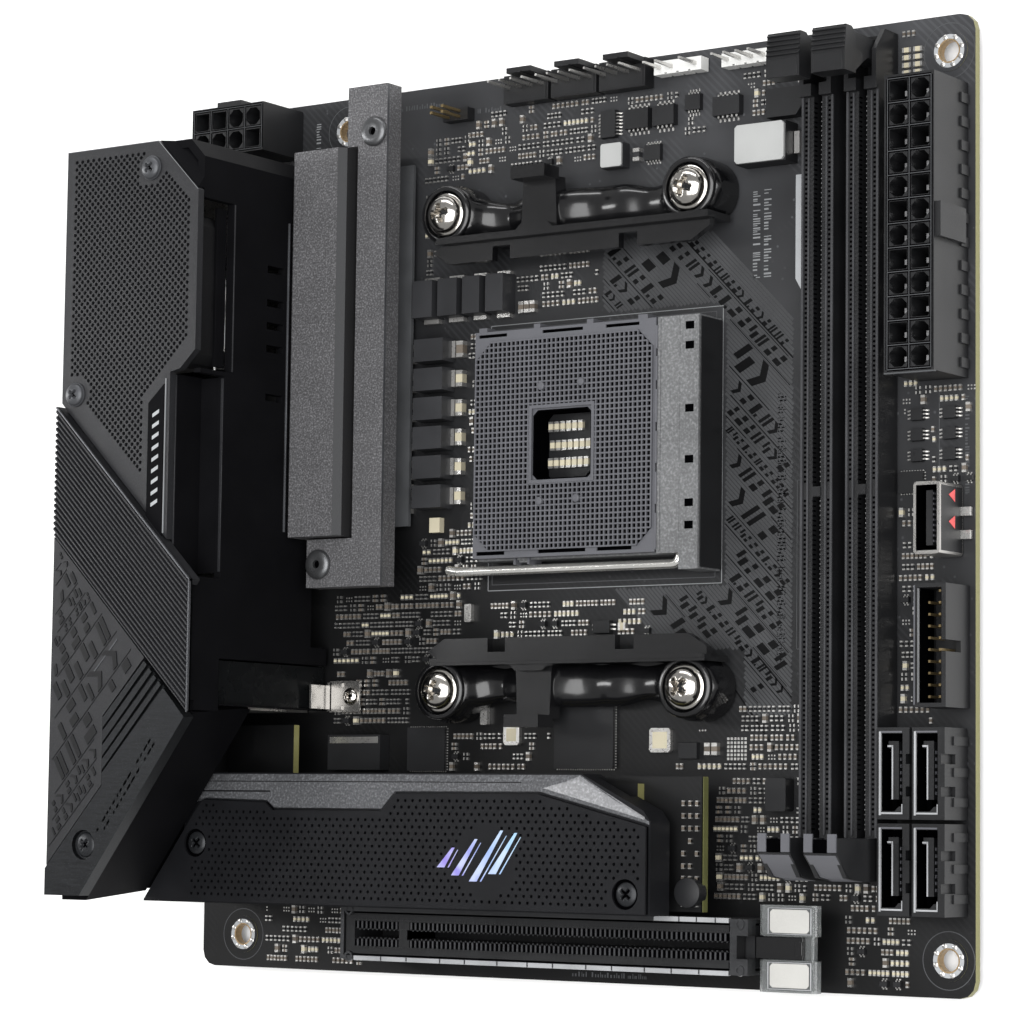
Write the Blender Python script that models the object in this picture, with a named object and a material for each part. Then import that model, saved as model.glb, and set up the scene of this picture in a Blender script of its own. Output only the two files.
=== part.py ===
"""Mini-ITX motherboard built from separate parts.

Positions are given in board millimetres: x runs from the rear (port) edge to the front edge,
y from the expansion-slot edge to the power-stage edge, and z up from the board's top face.
The function world() turns them into metres in the part's own frame, whose origin is the
centre of the base of the part's box.
"""
import math

import bmesh
import bpy
from mathutils import Matrix, Vector

# ---------------------------------------------------------------- driving dimensions (mm)
BOARD_SIDE = 170.18
BOARD_THICK = 1.6
BOARD_CORNER = 3.0
GAP = 0.3                      # clearance between neighbouring parts
REAR_REACH = 7.5               # how far the antenna posts stand out behind the rear edge
UNDERSIDE = 2.2                # how far legs and backplate stand below the board

MOUNT_HOLES = ((10.16, 6.35), (165.1, 6.35), (165.1, 163.83), (33.02, 163.83))
MOUNT_HOLE_R = 1.98
MOUNT_PAD_R = 3.6
MOUNT_PAD_RISE = 0.1

SOCKET_X = 89.75               # centre of the pin grid and of the cooler screw pattern
SOCKET_Y = 98.21
COOLER_HALF_X = 27.0
COOLER_HALF_Y = 45.0
POST_R = 1.9
POST_TOP = 4.0

LEVER_X = 113.2
LEVER_Z = 4.2
LEVER_Y = 75.6
WIRE_R = 0.9
SHAFT_BORE_R = 1.3

DIMM_X = (142.9, 151.9)
DIMM_WIDTH = 6.4
DIMM_TOP = 7.0
DIMM_PIVOT_Y = 164.0
DIMM_PIVOT_Z = 3.5

SLOT_Y = 7.8                   # centre line of the expansion slot
SLOT_TOP = 11.25
SLOT_LATCH_X = 134.4
SLOT_LATCH_Z = 3.3

ROOF = 44.0                    # highest face of the rear cover
MESH_TOP = 42.3
COVER_REAR = -2.3
COVER_FRONT = 30.4
COVER_WALL = 1.6
FAN_X = 13.6
FAN_Y = 127.5
FAN_R = 13.8

BUTTON_Y = 113.5
BUTTON_Z = 3.6
ANTENNA_Y = 53.7
ANTENNA_Z = (10.0, 24.0)

BOARD_BOTTOM = -BOARD_THICK
BASE = BOARD_BOTTOM - UNDERSIDE
ORIGIN = ((BOARD_SIDE - REAR_REACH) / 2, BOARD_SIDE / 2, BASE)


# ---------------------------------------------------------------- shape helpers
def world(x, y, z):
    """Board millimetres to metres in the part's frame."""
    return Vector((x - ORIGIN[0], y - ORIGIN[1], z - ORIGIN[2])) / 1000


def new_object(mesh_builder):
    mesh = bpy.data.meshes.new("shape")
    bmesh.ops.recalc_face_normals(mesh_builder, faces=mesh_builder.faces)
    mesh_builder.to_mesh(mesh)
    mesh_builder.free()
    made = bpy.data.objects.new("shape", mesh)
    bpy.context.scene.collection.objects.link(made)
    return made


def along(axis, u, v, w):
    """A point whose outline coordinates are u, v and whose distance along the axis is w."""
    if axis == "X":
        return world(w, u, v)
    if axis == "Y":
        return world(u, w, v)
    return world(u, v, w)


def add_prism(builder, outline, low, high, axis="Z"):
    lower = [builder.verts.new(along(axis, u, v, low)) for u, v in outline]
    upper = [builder.verts.new(along(axis, u, v, high)) for u, v in outline]
    builder.faces.new(list(reversed(lower)))
    builder.faces.new(upper)
    count = len(outline)
    for i in range(count):
        j = (i + 1) % count
        builder.faces.new((lower[i], lower[j], upper[j], upper[i]))


def rectangle(x0, x1, y0, y1):
    return [(x0, y0), (x1, y0), (x1, y1), (x0, y1)]


def circle(x, y, radius, sides, start=0.0):
    step = 2 * math.pi / sides
    return [(x + radius * math.cos(start + i * step), y + radius * math.sin(start + i * step))
            for i in range(sides)]


def rounded_rectangle(x0, x1, y0, y1, radius, steps=3):
    corners = ((x1 - radius, y0 + radius, -90), (x1 - radius, y1 - radius, 0),
               (x0 + radius, y1 - radius, 90), (x0 + radius, y0 + radius, 180))
    points = []
    for cx, cy, first in corners:
        for i in range(steps + 1):
            angle = math.radians(first + 90 * i / steps)
            points.append((cx + radius * math.cos(angle), cy + radius * math.sin(angle)))
    return points


def chamfered_rectangle(x0, x1, y0, y1, cut):
    return [(x0 + cut, y0), (x1 - cut, y0), (x1, y0 + cut), (x1, y1 - cut),
            (x1 - cut, y1), (x0 + cut, y1), (x0, y1 - cut), (x0, y0 + cut)]


def prism(outline, low, high, axis="Z"):
    builder = bmesh.new()
    add_prism(builder, outline, low, high, axis)
    return new_object(builder)


def prisms(outlines, low, high, axis="Z"):
    """Several separate prisms in one cutter."""
    builder = bmesh.new()
    for outline in outlines:
        add_prism(builder, outline, low, high, axis)
    return new_object(builder)


def box(x0, x1, y0, y1, z0, z1):
    return prism(rectangle(x0, x1, y0, y1), z0, z1)


def cylinder(u, v, radius, low, high, axis="Z", sides=16):
    return prism(circle(u, v, radius, sides), low, high, axis)


def hull(points):
    builder = bmesh.new()
    for point in points:
        builder.verts.new(world(*point))
    bmesh.ops.convex_hull(builder, input=builder.verts)
    return new_object(builder)


def combine(target, operation, tools):
    for tool in tools:
        modifier = target.modifiers.new("combine", "BOOLEAN")
        modifier.operation = operation
        modifier.solver = "EXACT"
        modifier.object = tool
        graph = bpy.context.evaluated_depsgraph_get()
        mesh = bpy.data.meshes.new_from_object(target.evaluated_get(graph))
        target.modifiers.clear()
        target.data = mesh
        bpy.data.objects.remove(tool)
    return target


def join(target, *tools):
    return combine(target, "UNION", tools)


def cut(target, *tools):
    return combine(target, "DIFFERENCE", tools)


# ---------------------------------------------------------------- materials
def finish(name, colour, roughness, metallic=0.0):
    material = bpy.data.materials.get(name)
    if material is None:
        material = bpy.data.materials.new(name)
        material.use_nodes = True
        shader = material.node_tree.nodes["Principled BSDF"]
        shader.inputs["Base Color"].default_value = (*colour, 1.0)
        shader.inputs["Roughness"].default_value = roughness
        shader.inputs["Metallic"].default_value = metallic
    return material


def black_board():
    return finish("board_mask", (0.035, 0.037, 0.042), 0.55)


def black_plastic():
    return finish("connector_plastic", (0.02, 0.021, 0.023), 0.5)


def gloss_black():
    return finish("bracket_plastic", (0.018, 0.018, 0.02), 0.2)


def socket_plastic():
    return finish("socket_plastic", (0.23, 0.235, 0.245), 0.5)


def white_plastic():
    return finish("header_white", (0.8, 0.8, 0.76), 0.45)


def cover_paint():
    return finish("cover_paint", (0.06, 0.064, 0.068), 0.45, 0.2)


def bar_metal():
    return finish("bar_metal", (0.14, 0.15, 0.155), 0.4, 0.7)


def blasted_aluminium():
    return finish("heatsink_aluminium", (0.3, 0.3, 0.3), 0.5, 0.8)


def steel():
    return finish("steel", (0.55, 0.55, 0.56), 0.3, 1.0)


def port_shell():
    return finish("port_shell", (0.6, 0.59, 0.57), 0.35, 0.9)


def screw_steel():
    return finish("screw_steel", (0.7, 0.69, 0.66), 0.15, 1.0)


def smoky_film():
    return finish("smoky_film", (0.05, 0.055, 0.06), 0.15)


def name_part(shape, name, material, pivot=None):
    """Name the finished shape, give it its material and move its origin to the pivot."""
    shape.name = name
    shape.data.name = name
    shape.data.materials.clear()
    shape.data.materials.append(material)
    if pivot is not None:
        centre = world(*pivot)
        shape.data.transform(Matrix.Translation(-centre))
        shape.location = centre
    shape.data.shade_smooth()
    shape.data.set_sharp_from_angle(angle=math.radians(35))
    return shape


# ---------------------------------------------------------------- board and backplate
PORT_LEGS = ((12.0, 139.5), (12.0, 150.5), (12.0, 121.5), (12.0, 131.5), (12.0, 95.0), (12.0, 105.0),
             (12.0, 75.5), (12.0, 87.0), (8.0, 32.5), (8.0, 41.0), (12.0, 51.0), (12.0, 56.5),
             (4.0, 111.6), (4.0, 115.4))
HEADER_LEGS = ((162.0, 110.2), (162.0, 131.9), (162.0, 153.5), (6.0, 162.0), (19.2, 162.0))
LEG_X = 0.8                    # half sizes of one leg
LEG_Y = 0.4
LEG_CLEAR = 0.3


def cooler_corners():
    return [(SOCKET_X + sx * COOLER_HALF_X, SOCKET_Y + sy * COOLER_HALF_Y)
            for sy in (-1, 1) for sx in (-1, 1)]


def leg(x, y, top=1.0):
    return box(x - LEG_X, x + LEG_X, y - LEG_Y, y + LEG_Y, BASE, top)


def make_board():
    outline = rounded_rectangle(0, BOARD_SIDE, 0, BOARD_SIDE, BOARD_CORNER)
    board = prism(outline, BOARD_BOTTOM, 0)
    pads = [circle(x, y, MOUNT_PAD_R, 20) for x, y in MOUNT_HOLES]
    join(board, prisms(pads, BOARD_BOTTOM - MOUNT_PAD_RISE, MOUNT_PAD_RISE))
    holes = [circle(x, y, MOUNT_HOLE_R, 20) for x, y in MOUNT_HOLES]
    holes += [circle(x, y, POST_R + GAP, 14) for x, y in cooler_corners()]
    for x, y in PORT_LEGS + HEADER_LEGS:
        reach_x = LEG_X + LEG_CLEAR
        reach_y = LEG_Y + LEG_CLEAR
        holes.append(rectangle(x - reach_x, x + reach_x, y - reach_y, y + reach_y))
    cut(board, prisms(holes, BOARD_BOTTOM - 1, 1))
    name_part(board, "pcb", black_board())


def make_backplate():
    edge = 8.5
    x0 = SOCKET_X - COOLER_HALF_X - edge
    x1 = SOCKET_X + COOLER_HALF_X + edge
    y0 = SOCKET_Y - COOLER_HALF_Y - edge
    y1 = SOCKET_Y + COOLER_HALF_Y + edge
    top = BOARD_BOTTOM - GAP
    plate = prism(rounded_rectangle(x0, x1, y0, y1, 7.0), BASE, top)
    cut(plate, prism(chamfered_rectangle(SOCKET_X - 17, SOCKET_X + 17, SOCKET_Y - 20, SOCKET_Y + 20, 4),
                     BASE - 1, top + 1))
    posts = [circle(x, y, POST_R, 14) for x, y in cooler_corners()]
    join(plate, prisms(posts, BASE + 0.5, POST_TOP))
    bores = [circle(x, y, 1.3, 10) for x, y in cooler_corners()]
    cut(plate, prisms(bores, -1.4, POST_TOP + 1))
    name_part(plate, "backplate", steel())


# ---------------------------------------------------------------- processor socket
SOCKET_LEFT = 69.6
SOCKET_RIGHT = 119.2
SOCKET_BACK = 120.1
SOCKET_FRONT = 77.3
CAM_LEFT = 110.3
CAM_FRONT = 74.3
SOCKET_TOP = 7.7
WINDOW_HALF = 6.5


def make_socket_base():
    base = box(SOCKET_LEFT, SOCKET_RIGHT, SOCKET_FRONT, SOCKET_BACK, GAP, 5.4)
    cam_outline = [(CAM_LEFT, SOCKET_FRONT), (115.0, SOCKET_FRONT), (115.0, CAM_FRONT),
                   (SOCKET_RIGHT, CAM_FRONT), (SOCKET_RIGHT, SOCKET_BACK), (CAM_LEFT, SOCKET_BACK)]
    join(base, prism(cam_outline, GAP, SOCKET_TOP))
    join(base, box(78.5, 81.0, 76.9, 79.0, 2.0, 5.0))
    cut(base, prism(chamfered_rectangle(SOCKET_X - WINDOW_HALF, SOCKET_X + WINDOW_HALF,
                                        SOCKET_Y - WINDOW_HALF, SOCKET_Y + WINDOW_HALF, 1.0), -1, 9))
    cut(base, cylinder(LEVER_X, LEVER_Z, SHAFT_BORE_R, CAM_FRONT, 117.5, "Y", 14))
    holes = [rectangle(116.2, 118.0, y - 0.7, y + 0.7) for y in (118.2, 114.6, 103.2, 94.0, 86.2, 82.2)]
    cut(base, prisms(holes, 6.9, 9))
    name_part(base, "socket_base", socket_plastic())


def make_socket_cover():
    cover = box(SOCKET_LEFT + 0.2, CAM_LEFT - 0.4, SOCKET_FRONT + 0.3, SOCKET_BACK, 5.7, SOCKET_TOP)
    cut(cover, prism(chamfered_rectangle(SOCKET_X - WINDOW_HALF, SOCKET_X + WINDOW_HALF,
                                         SOCKET_Y - WINDOW_HALF, SOCKET_Y + WINDOW_HALF, 1.0), 4, 9))
    slots = [rectangle(x0, x1, 119.0, 119.6) for x0, x1 in ((70.6, 77.0), (85.0, 94.0), (99.0, 106.3))]
    slots += [rectangle(x0, x1, 78.2, 78.9) for x0, x1 in ((70.6, 77.0), (84.5, 95.0), (97.5, 105.0))]
    cut(cover, prisms(slots, 4, 9))
    name_part(cover, "socket_cover", socket_plastic(), (SOCKET_X, SOCKET_Y, 6.7))


def tube(points, radius, sides):
    """A round wire through points in board millimetres, with mitred bends and flat ends."""
    places = [Vector(point) for point in points]
    builder = bmesh.new()
    rings = []
    for index, place in enumerate(places):
        before = (place - places[index - 1]).normalized() if index else None
        after = (places[index + 1] - place).normalized() if index < len(places) - 1 else None
        direction = ((before or after) + (after or before)).normalized()
        stretch = 1.0 / max(direction.dot(after or before), 0.3)
        up = Vector((0, 0, 1))
        if abs(direction.z) > 0.99:
            up = Vector((0, 1, 0))
        side = direction.cross(up).normalized()
        lift = side.cross(direction).normalized()
        bend = Vector((0, 0, 0))
        if before and after and (after - before).length > 1e-6:
            bend = (after - before).normalized()
        ring = []
        for i in range(sides):
            angle = 2 * math.pi * i / sides
            offset = side * (radius * math.cos(angle)) + lift * (radius * math.sin(angle))
            offset += bend * offset.dot(bend) * (stretch - 1)
            ring.append(builder.verts.new(world(*(place + offset))))
        rings.append(ring)
    for first, second in zip(rings, rings[1:]):
        for i in range(sides):
            j = (i + 1) % sides
            builder.faces.new((first[i], first[j], second[j], second[i]))
    builder.faces.new(rings[0])
    builder.faces.new(rings[-1])
    return new_object(builder)


def make_socket_lever():
    route = [(61.7, LEVER_Y + 0.4, LEVER_Z), (64.5, LEVER_Y, LEVER_Z), (111.6, LEVER_Y, LEVER_Z)]
    for degrees in (30, 60):
        angle = math.radians(degrees)
        route.append((111.6 + 1.6 * math.sin(angle), LEVER_Y + 1.6 * (1 - math.cos(angle)), LEVER_Z))
    route += [(LEVER_X, LEVER_Y + 1.6, LEVER_Z), (LEVER_X, 116.0, LEVER_Z)]
    lever = tube(route, WIRE_R, 10)
    name_part(lever, "socket_lever", screw_steel(), (LEVER_X, 96.0, LEVER_Z))


# ---------------------------------------------------------------- cooler brackets
def make_bracket(name, side):
    """side is +1 for the bracket by the power stage and -1 for the one by the expansion slot."""
    screw_y = SOCKET_Y + side * COOLER_HALF_Y
    left = SOCKET_X - COOLER_HALF_X
    right = SOCKET_X + COOLER_HALF_X

    def across(offset):
        """A y value measured from the screw line towards the outer edge."""
        return screw_y + side * offset

    def slab(x0, x1, near, far, z0, z1):
        low, high = sorted((across(near), across(far)))
        return box(x0, x1, low, high, z0, z1)

    bracket = slab(left, right, -4.9, 3.2, GAP + 2.0, 5.4)
    bosses = [circle(x, screw_y, 6.0, 20) for x in (left, right)]
    join(bracket, prisms(bosses, GAP, 7.6))
    join(bracket, slab(left - 1.5, right + 4.8, -5.8, -4.6, GAP + 1.0, 9.3))
    flange = [(-5.0, left + 0.5), (-5.0, right + 4.5), (-7.2, right + 4.5), (-9.6, right + 0.6),
              (-9.6, left + 1.0), (-7.2, left - 3.0)]
    join(bracket, prism([(x, across(offset)) for offset, x in flange], 6.3, 8.0))
    hook_x = SOCKET_X - 6.4
    join(bracket, slab(hook_x - 4.2, hook_x + 4.2, -4.8, 5.4, 4.0, 8.3))
    join(bracket, slab(hook_x - 3.8, hook_x + 3.8, 4.8, 7.0, 6.0, 11.0))
    notches = []
    for x in (SOCKET_X - 14.1, SOCKET_X + 14.1):
        low, high = sorted((across(-10.5), across(-7.0)))
        notches.append(rectangle(x - 2.0, x + 2.0, low, high))
    cut(bracket, prisms(notches, 5, 9))
    cut(bracket, prisms([circle(x, screw_y, POST_R + GAP, 14) for x in (left, right)], -1, POST_TOP + GAP))
    cut(bracket, prisms([circle(x, screw_y, 1.4, 12) for x in (left, right)], 4, 9))
    name_part(bracket, name, gloss_black())


def make_dome_screw(name, x, y, seat, head_r, head_h, shank_r, depth):
    """A button-head screw: a low dome with a cross recess on a plain shank, one turned body."""
    profile = [(0.0, seat + head_h)]
    for degrees in (65, 45, 25, 8):
        angle = math.radians(degrees)
        profile.append((head_r * math.cos(angle), seat + head_h * math.sin(angle)))
    profile += [(head_r, seat), (shank_r, seat), (shank_r, seat - depth), (0.0, seat - depth)]
    sides = 14
    builder = bmesh.new()
    rings = []
    for radius, z in profile:
        if radius == 0.0:
            rings.append([builder.verts.new(world(x, y, z))])
        else:
            rings.append([builder.verts.new(world(u, v, z)) for u, v in circle(x, y, radius, sides)])
    for first, second in zip(rings, rings[1:]):
        for i in range(sides):
            j = (i + 1) % sides
            if len(first) == 1:
                builder.faces.new((first[0], second[i], second[j]))
            elif len(second) == 1:
                builder.faces.new((first[i], second[0], first[j]))
            else:
                builder.faces.new((first[i], second[i], second[j], first[j]))
    screw = new_object(builder)
    arm = head_r * 0.5
    thin = head_r * 0.14
    deep = seat + head_h * 0.45
    cross = [(arm, thin), (thin, thin), (thin, arm), (-thin, arm), (-thin, thin), (-arm, thin),
             (-arm, -thin), (-thin, -thin), (-thin, -arm), (thin, -arm), (thin, -thin), (arm, -thin)]
    cut(screw, prism([(x + u, y + v) for u, v in cross], deep, seat + head_h + 1))
    name_part(screw, name, screw_steel())


# ---------------------------------------------------------------- power and memory connectors
def cell_outlines(x0, y0, pitch, columns, rows, size):
    outlines = []
    for i in range(columns):
        for j in range(rows):
            x = x0 + i * pitch
            y = y0 + j * pitch
            outlines.append(rectangle(x, x + size, y, y + size))
    return outlines


def make_power_header():
    header = box(159.26, 168.86, 106.06, 157.66, GAP, 12.8)
    join(header, box(168.7, 169.9, 129.0, 135.0, 3.0, 12.4))
    cells = cell_outlines(160.3, 106.96, 4.2, 2, 12, 3.4)
    cut(header, prisms(cells, 3.0, 14))
    join(header, *[leg(x, y) for x, y in HEADER_LEGS[:3]])
    name_part(header, "board_power_header", black_plastic())


def make_processor_power_header():
    header = box(3.6, 21.6, 159.3, 168.9, GAP, 12.8)
    join(header, box(9.6, 15.6, 168.7, 169.9, 3.0, 12.4))
    cut(header, prisms(cell_outlines(4.5, 160.2, 4.3, 4, 2, 3.4), 3.0, 14))
    join(header, *[leg(x, y) for x, y in HEADER_LEGS[3:]])
    name_part(header, "processor_power_header", black_plastic())


def make_dimm_slot(name, x):
    half = DIMM_WIDTH / 2
    slot = box(x - half, x + half, 26.8, 157.2, GAP, DIMM_TOP)
    post = [(19.6, GAP), (26.9, GAP), (26.9, 21.0), (24.0, 21.0), (20.4, 17.0), (19.6, 12.0)]
    join(slot, prism(post, x - half, x + half, "X"))
    cheek = [(157.0, GAP), (168.0, GAP), (168.0, 5.0), (164.0, 8.2), (157.0, 8.2)]
    join(slot, prism(cheek, x - half, x + half, "X"))
    groove = 0.8
    cut(slot, prisms([rectangle(x - groove, x + groove, 24.6, 86.1),
                      rectangle(x - groove, x + groove, 87.9, 160.0)], 2.4, 30))
    cut(slot, box(x - 2.35, x + 2.35, 159.2, 170, 1.0, 12))
    name_part(slot, name, black_plastic())


def make_dimm_latch(name, x):
    neck = circle(DIMM_PIVOT_Y, DIMM_PIVOT_Z, 2.0, 16)
    latch = prism(neck, x - 2.0, x + 2.0, "X")
    stem = [(162.2, 4.0), (165.8, 4.0), (165.9, 16.5), (159.4, 16.5), (159.4, 13.6), (162.2, 9.0)]
    join(latch, prism(stem, x - 2.0, x + 2.0, "X"))
    head = [(158.1, 15.6), (165.0, 15.6), (166.1, 17.0), (166.1, 19.0), (161.6, 19.5), (158.1, 19.5)]
    join(latch, prism(head, x - 3.3, x + 3.3, "X"))
    name_part(latch, name, black_plastic(), (x, DIMM_PIVOT_Y, DIMM_PIVOT_Z))


# ---------------------------------------------------------------- expansion slot
def make_expansion_slot():
    half = 3.75
    slot = box(44.3, 128.2, SLOT_Y - half, SLOT_Y + half, GAP, SLOT_TOP)
    join(slot, box(128.0, 131.9, SLOT_Y - half, SLOT_Y + half, GAP, 8.6))
    ears = [rectangle(131.0, 135.9, SLOT_Y - half, SLOT_Y - half + 1.2),
            rectangle(131.0, 135.9, SLOT_Y + half - 1.2, SLOT_Y + half)]
    join(slot, prisms(ears, GAP, 5.6))
    groove = 0.9
    cut(slot, prisms([rectangle(46.3, 56.9, SLOT_Y - groove, SLOT_Y + groove),
                      rectangle(58.7, 128.9, SLOT_Y - groove, SLOT_Y + groove)], 2.5, 14))
    name_part(slot, "expansion_slot", black_plastic())


def make_slot_shield():
    outer = 4.85
    inner = 4.1
    shield = box(43.2, 132.2, SLOT_Y - outer, SLOT_Y + outer, GAP, 11.6)
    cut(shield, box(44.0, 140, SLOT_Y - inner, SLOT_Y + inner, -1, 13))
    join(shield, box(128.6, 132.2, SLOT_Y - outer, SLOT_Y + outer, 8.9, 11.6))
    cut(shield, box(130.0, 140, SLOT_Y - 2.0, SLOT_Y + 2.0, 8, 13))
    name_part(shield, "expansion_slot_shield", steel())


def make_slot_latch():
    barrel = cylinder(SLOT_LATCH_X, SLOT_LATCH_Z, 1.4, SLOT_Y - 2.2, SLOT_Y + 2.2, "Y", 14)
    arm = [(133.3, 3.6), (135.5, 3.6), (136.4, 6.2), (143.4, 6.9), (143.4, 7.9), (133.3, 7.9)]
    join(barrel, prism(arm, SLOT_Y - 2.2, SLOT_Y + 2.2, "Y"))
    wing = [(132.6, 6.3), (143.6, 6.3), (144.0, 6.7), (144.0, 8.1), (143.2, 8.6), (133.4, 8.6),
            (132.6, 8.0)]
    for low, high in ((0.2, SLOT_Y - 2.1), (SLOT_Y + 2.1, 15.2)):
        join(barrel, prism(wing, low, high, "Y"))
    name_part(barrel, "expansion_slot_latch", black_plastic(), (SLOT_LATCH_X, SLOT_Y, SLOT_LATCH_Z))


# ---------------------------------------------------------------- front-edge ports and headers
PIN_PITCH = 2.54
FAN_HEADER_X = (72.4, 83.2, 94.0)
LIGHT_HEADERS = ((105.9, 165.9), (120.4, 165.7))


def make_drive_port(name, x, y):
    """One vertical drive port whose low corner is at x, y."""
    width = 6.2
    length = 15.6
    port = box(x, x + width, y, y + length, GAP, 8.5)
    cavity = [(x + 0.7, y + 1.4), (x + 3.4, y + 1.4), (x + 4.2, y + 2.2), (x + 4.9, y + 2.2),
              (x + 4.9, y + length - 1.0), (x + 0.7, y + length - 1.0)]
    cut(port, prism(cavity, 1.6, 10))
    tongue = [(x + 2.5, y + 3.4), (x + 3.7, y + 3.4), (x + 3.7, y + length - 2.4),
              (x + 1.9, y + length - 2.4), (x + 1.9, y + length - 3.5), (x + 2.5, y + length - 3.5)]
    join(port, prism(tongue, 1.0, 7.6))
    notches = [rectangle(x + width - 0.7, x + width + 1, y + low, y + low + 1.7) for low in (3.9, 9.4)]
    cut(port, prisms(notches, 4.6, 10))
    name_part(port, name, black_plastic())


def make_shrouded_header():
    header = box(163.0, 169.1, 49.2, 70.2, GAP, 8.9)
    cut(header, box(163.7, 168.3, 49.9, 69.5, 2.0, 10))
    cut(header, box(168.0, 170, 58.6, 60.6, 3.4, 10))
    name_part(header, "shrouded_header", black_plastic())


def make_front_panel_port():
    port = prism(rounded_rectangle(162.9, 167.9, 75.2, 87.6, 0.6, 2), GAP, 8.9)
    cut(port, box(163.4, 167.4, 75.8, 87.0, 2.0, 10))
    join(port, box(165.0, 166.1, 76.8, 86.0, 1.5, 8.0))
    name_part(port, "front_panel_port", port_shell())


def make_fan_header(name, x):
    """A four-pin header with a tall latching wall at its back."""
    width = 4 * PIN_PITCH
    header = box(x, x + width, 164.2, 169.6, GAP, 3.2)
    join(header, box(x + 4.6, x + width - 0.1, 168.5, 169.5, 2.0, 9.0))
    name_part(header, name, black_plastic())


def make_light_header(name, x, y):
    """A four-place pin strip with a small groove between its places."""
    header = box(x, x + 4 * PIN_PITCH, y, y + 2.5, GAP, 2.9)
    notches = [rectangle(x + PIN_PITCH * i - 0.25, x + PIN_PITCH * i + 0.25, y - 0.3, y + 0.3)
               for i in (1, 2, 3)]
    cut(header, prisms(notches, -1, 4))
    name_part(header, name, white_plastic())


# ---------------------------------------------------------------- power-stage heatsink
BAR_SCREWS = ((48.6, 160.0), (36.8, 77.4))


def make_heatsink_block():
    section = [(30.7, 3.2), (43.3, 3.2), (43.3, 13.6), (42.0, 14.8), (31.4, 14.8), (30.7, 14.1)]
    block = prism(section, 82.6, 157.2, "Y")
    name_part(block, "power_heatsink_block", blasted_aluminium())


def make_heatsink_bar():
    outline = [(33.8, 73.0), (51.5, 73.0), (51.5, 169.2), (42.1, 169.2), (42.1, 157.6), (44.6, 157.6),
               (44.6, 82.2), (33.8, 82.2)]
    bar = prism(outline, 7.6, 12.0)
    join(bar, box(44.7, 47.2, 84.0, 156.0, 2.2, 8.0))
    cut(bar, prisms([circle(x, y, 1.3, 12) for x, y in BAR_SCREWS], 5, 14))
    name_part(bar, "power_heatsink_bar", blasted_aluminium())


# ---------------------------------------------------------------- rear cover
RIM_LINE = ((COVER_REAR, 106.7), (31.7, 72.8))          # upper edge of the ribbed band
MESH_SCREWS = ((19.0, 150.9), (1.1, 108.9))
BAR_SCREW = (7.2, 23.7)


WALL_LEAN = (-2.2, 1.6)        # how far the slanting side's foot stands in from its head
WINDOW_TOP = 33.4              # upper edge of the window in front of the wireless module


def leaned(outline):
    return [(x + WALL_LEAN[0], y + WALL_LEAN[1]) for x, y in outline]


def leaning_slab(head_outline, foot_outline, foot, head):
    """A slab between one outline at its head and another at its foot."""
    return hull([(x, y, head) for x, y in head_outline] + [(x, y, foot) for x, y in foot_outline])


def make_cover_side_wall():
    front = COVER_FRONT
    foot = 20.9
    head = 40.4
    outer = [(-1.0, 156.0), (27.0, 156.0), (front, 152.4), (front, 58.0)]
    inner = [(-1.0, 154.4), (26.3, 154.4), (front - COVER_WALL, 151.7), (front - COVER_WALL, 58.0)]
    wall = prism(outer + list(reversed(inner)), foot, head)
    join(wall, box(front - COVER_WALL, front, 48.8, 59.0, WINDOW_TOP, head))
    slant = [(front, 48.3), (5.0, 13.3), (4.2, 14.9), (front - COVER_WALL, 49.2)]
    corner = [(5.3, 13.7), (5.0, 13.3), (4.2, 14.9), (4.5, 15.3)]
    straight = [(-1.0, 13.3), (-1.0, 14.9)]
    join(wall, leaning_slab(slant, leaned(slant), foot, head))
    join(wall, leaning_slab(corner + straight, leaned(corner) + [(-1.0, 14.9), (-1.0, 16.5)], foot, head))
    low_outer = [(-1.0, 156.0), (27.0, 156.0), (front, 152.4), (front, 58.0), (front - COVER_WALL, 58.0)]
    low_inner = [(front - COVER_WALL, 151.7), (26.3, 154.4), (-1.0, 154.4)]
    join(wall, prism(low_outer + low_inner, 1.0, 21.5))
    bevel = [(20.9, 156.0, 36.0), (27.0, 156.0, 36.0), (front, 152.4, 36.0), (front, 146.3, 36.0),
             (20.9, 156.0, 42.1), (front, 146.3, 42.1), (27.0, 156.0, 37.4), (front, 152.4, 37.4)]
    join(wall, hull(bevel))
    # upper part of the wall under the ribbed band, then the recess between fan and band
    join(wall, box(front - COVER_WALL, front, 50.6, 72.0, 40.0, 43.0 - GAP))
    cut(wall, box(front - 3, front + 1, 112.4, 144.6, 31.6, 45))
    cut(wall, box(24.9, front + 1, 73.5, 111.6, 33.4, 45))
    join(wall, box(23.3, 24.6, 74.6, 111.6, 32.0, 40.4))
    join(wall, box(23.3, front - 0.6, 74.6, 111.4, 32.0, 33.2))
    cut(wall, box(front - 3, front + 1, 49.6, 58.6, 0, WINDOW_TOP))
    cut(wall, box(front - 3, front + 1, 62.0, 81.0, 0, 6.0))
    vents = [rectangle(y - 0.7, y + 0.7, 16.1, 21.2) for y in (133.7, 127.2, 122.8, 118.4, 109.0)]
    cut(wall, prisms(vents, front - 3, front + 1, "X"))
    name_part(wall, "cover_side_wall", cover_paint())


def make_mesh_panel():
    outline = [(COVER_REAR, 107.4), (24.6, 80.5), (24.6, 111.8), (27.0, 112.3), (30.6, 115.7),
               (30.6, 145.8), (20.6, 156.0), (COVER_REAR, 156.0)]
    panel = prism(outline, 40.7, MESH_TOP)
    cut(panel, prisms([circle(x, y, 1.5, 12) for x, y in MESH_SCREWS], 40, 44))
    name_part(panel, "cover_mesh_panel", cover_paint())


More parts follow.
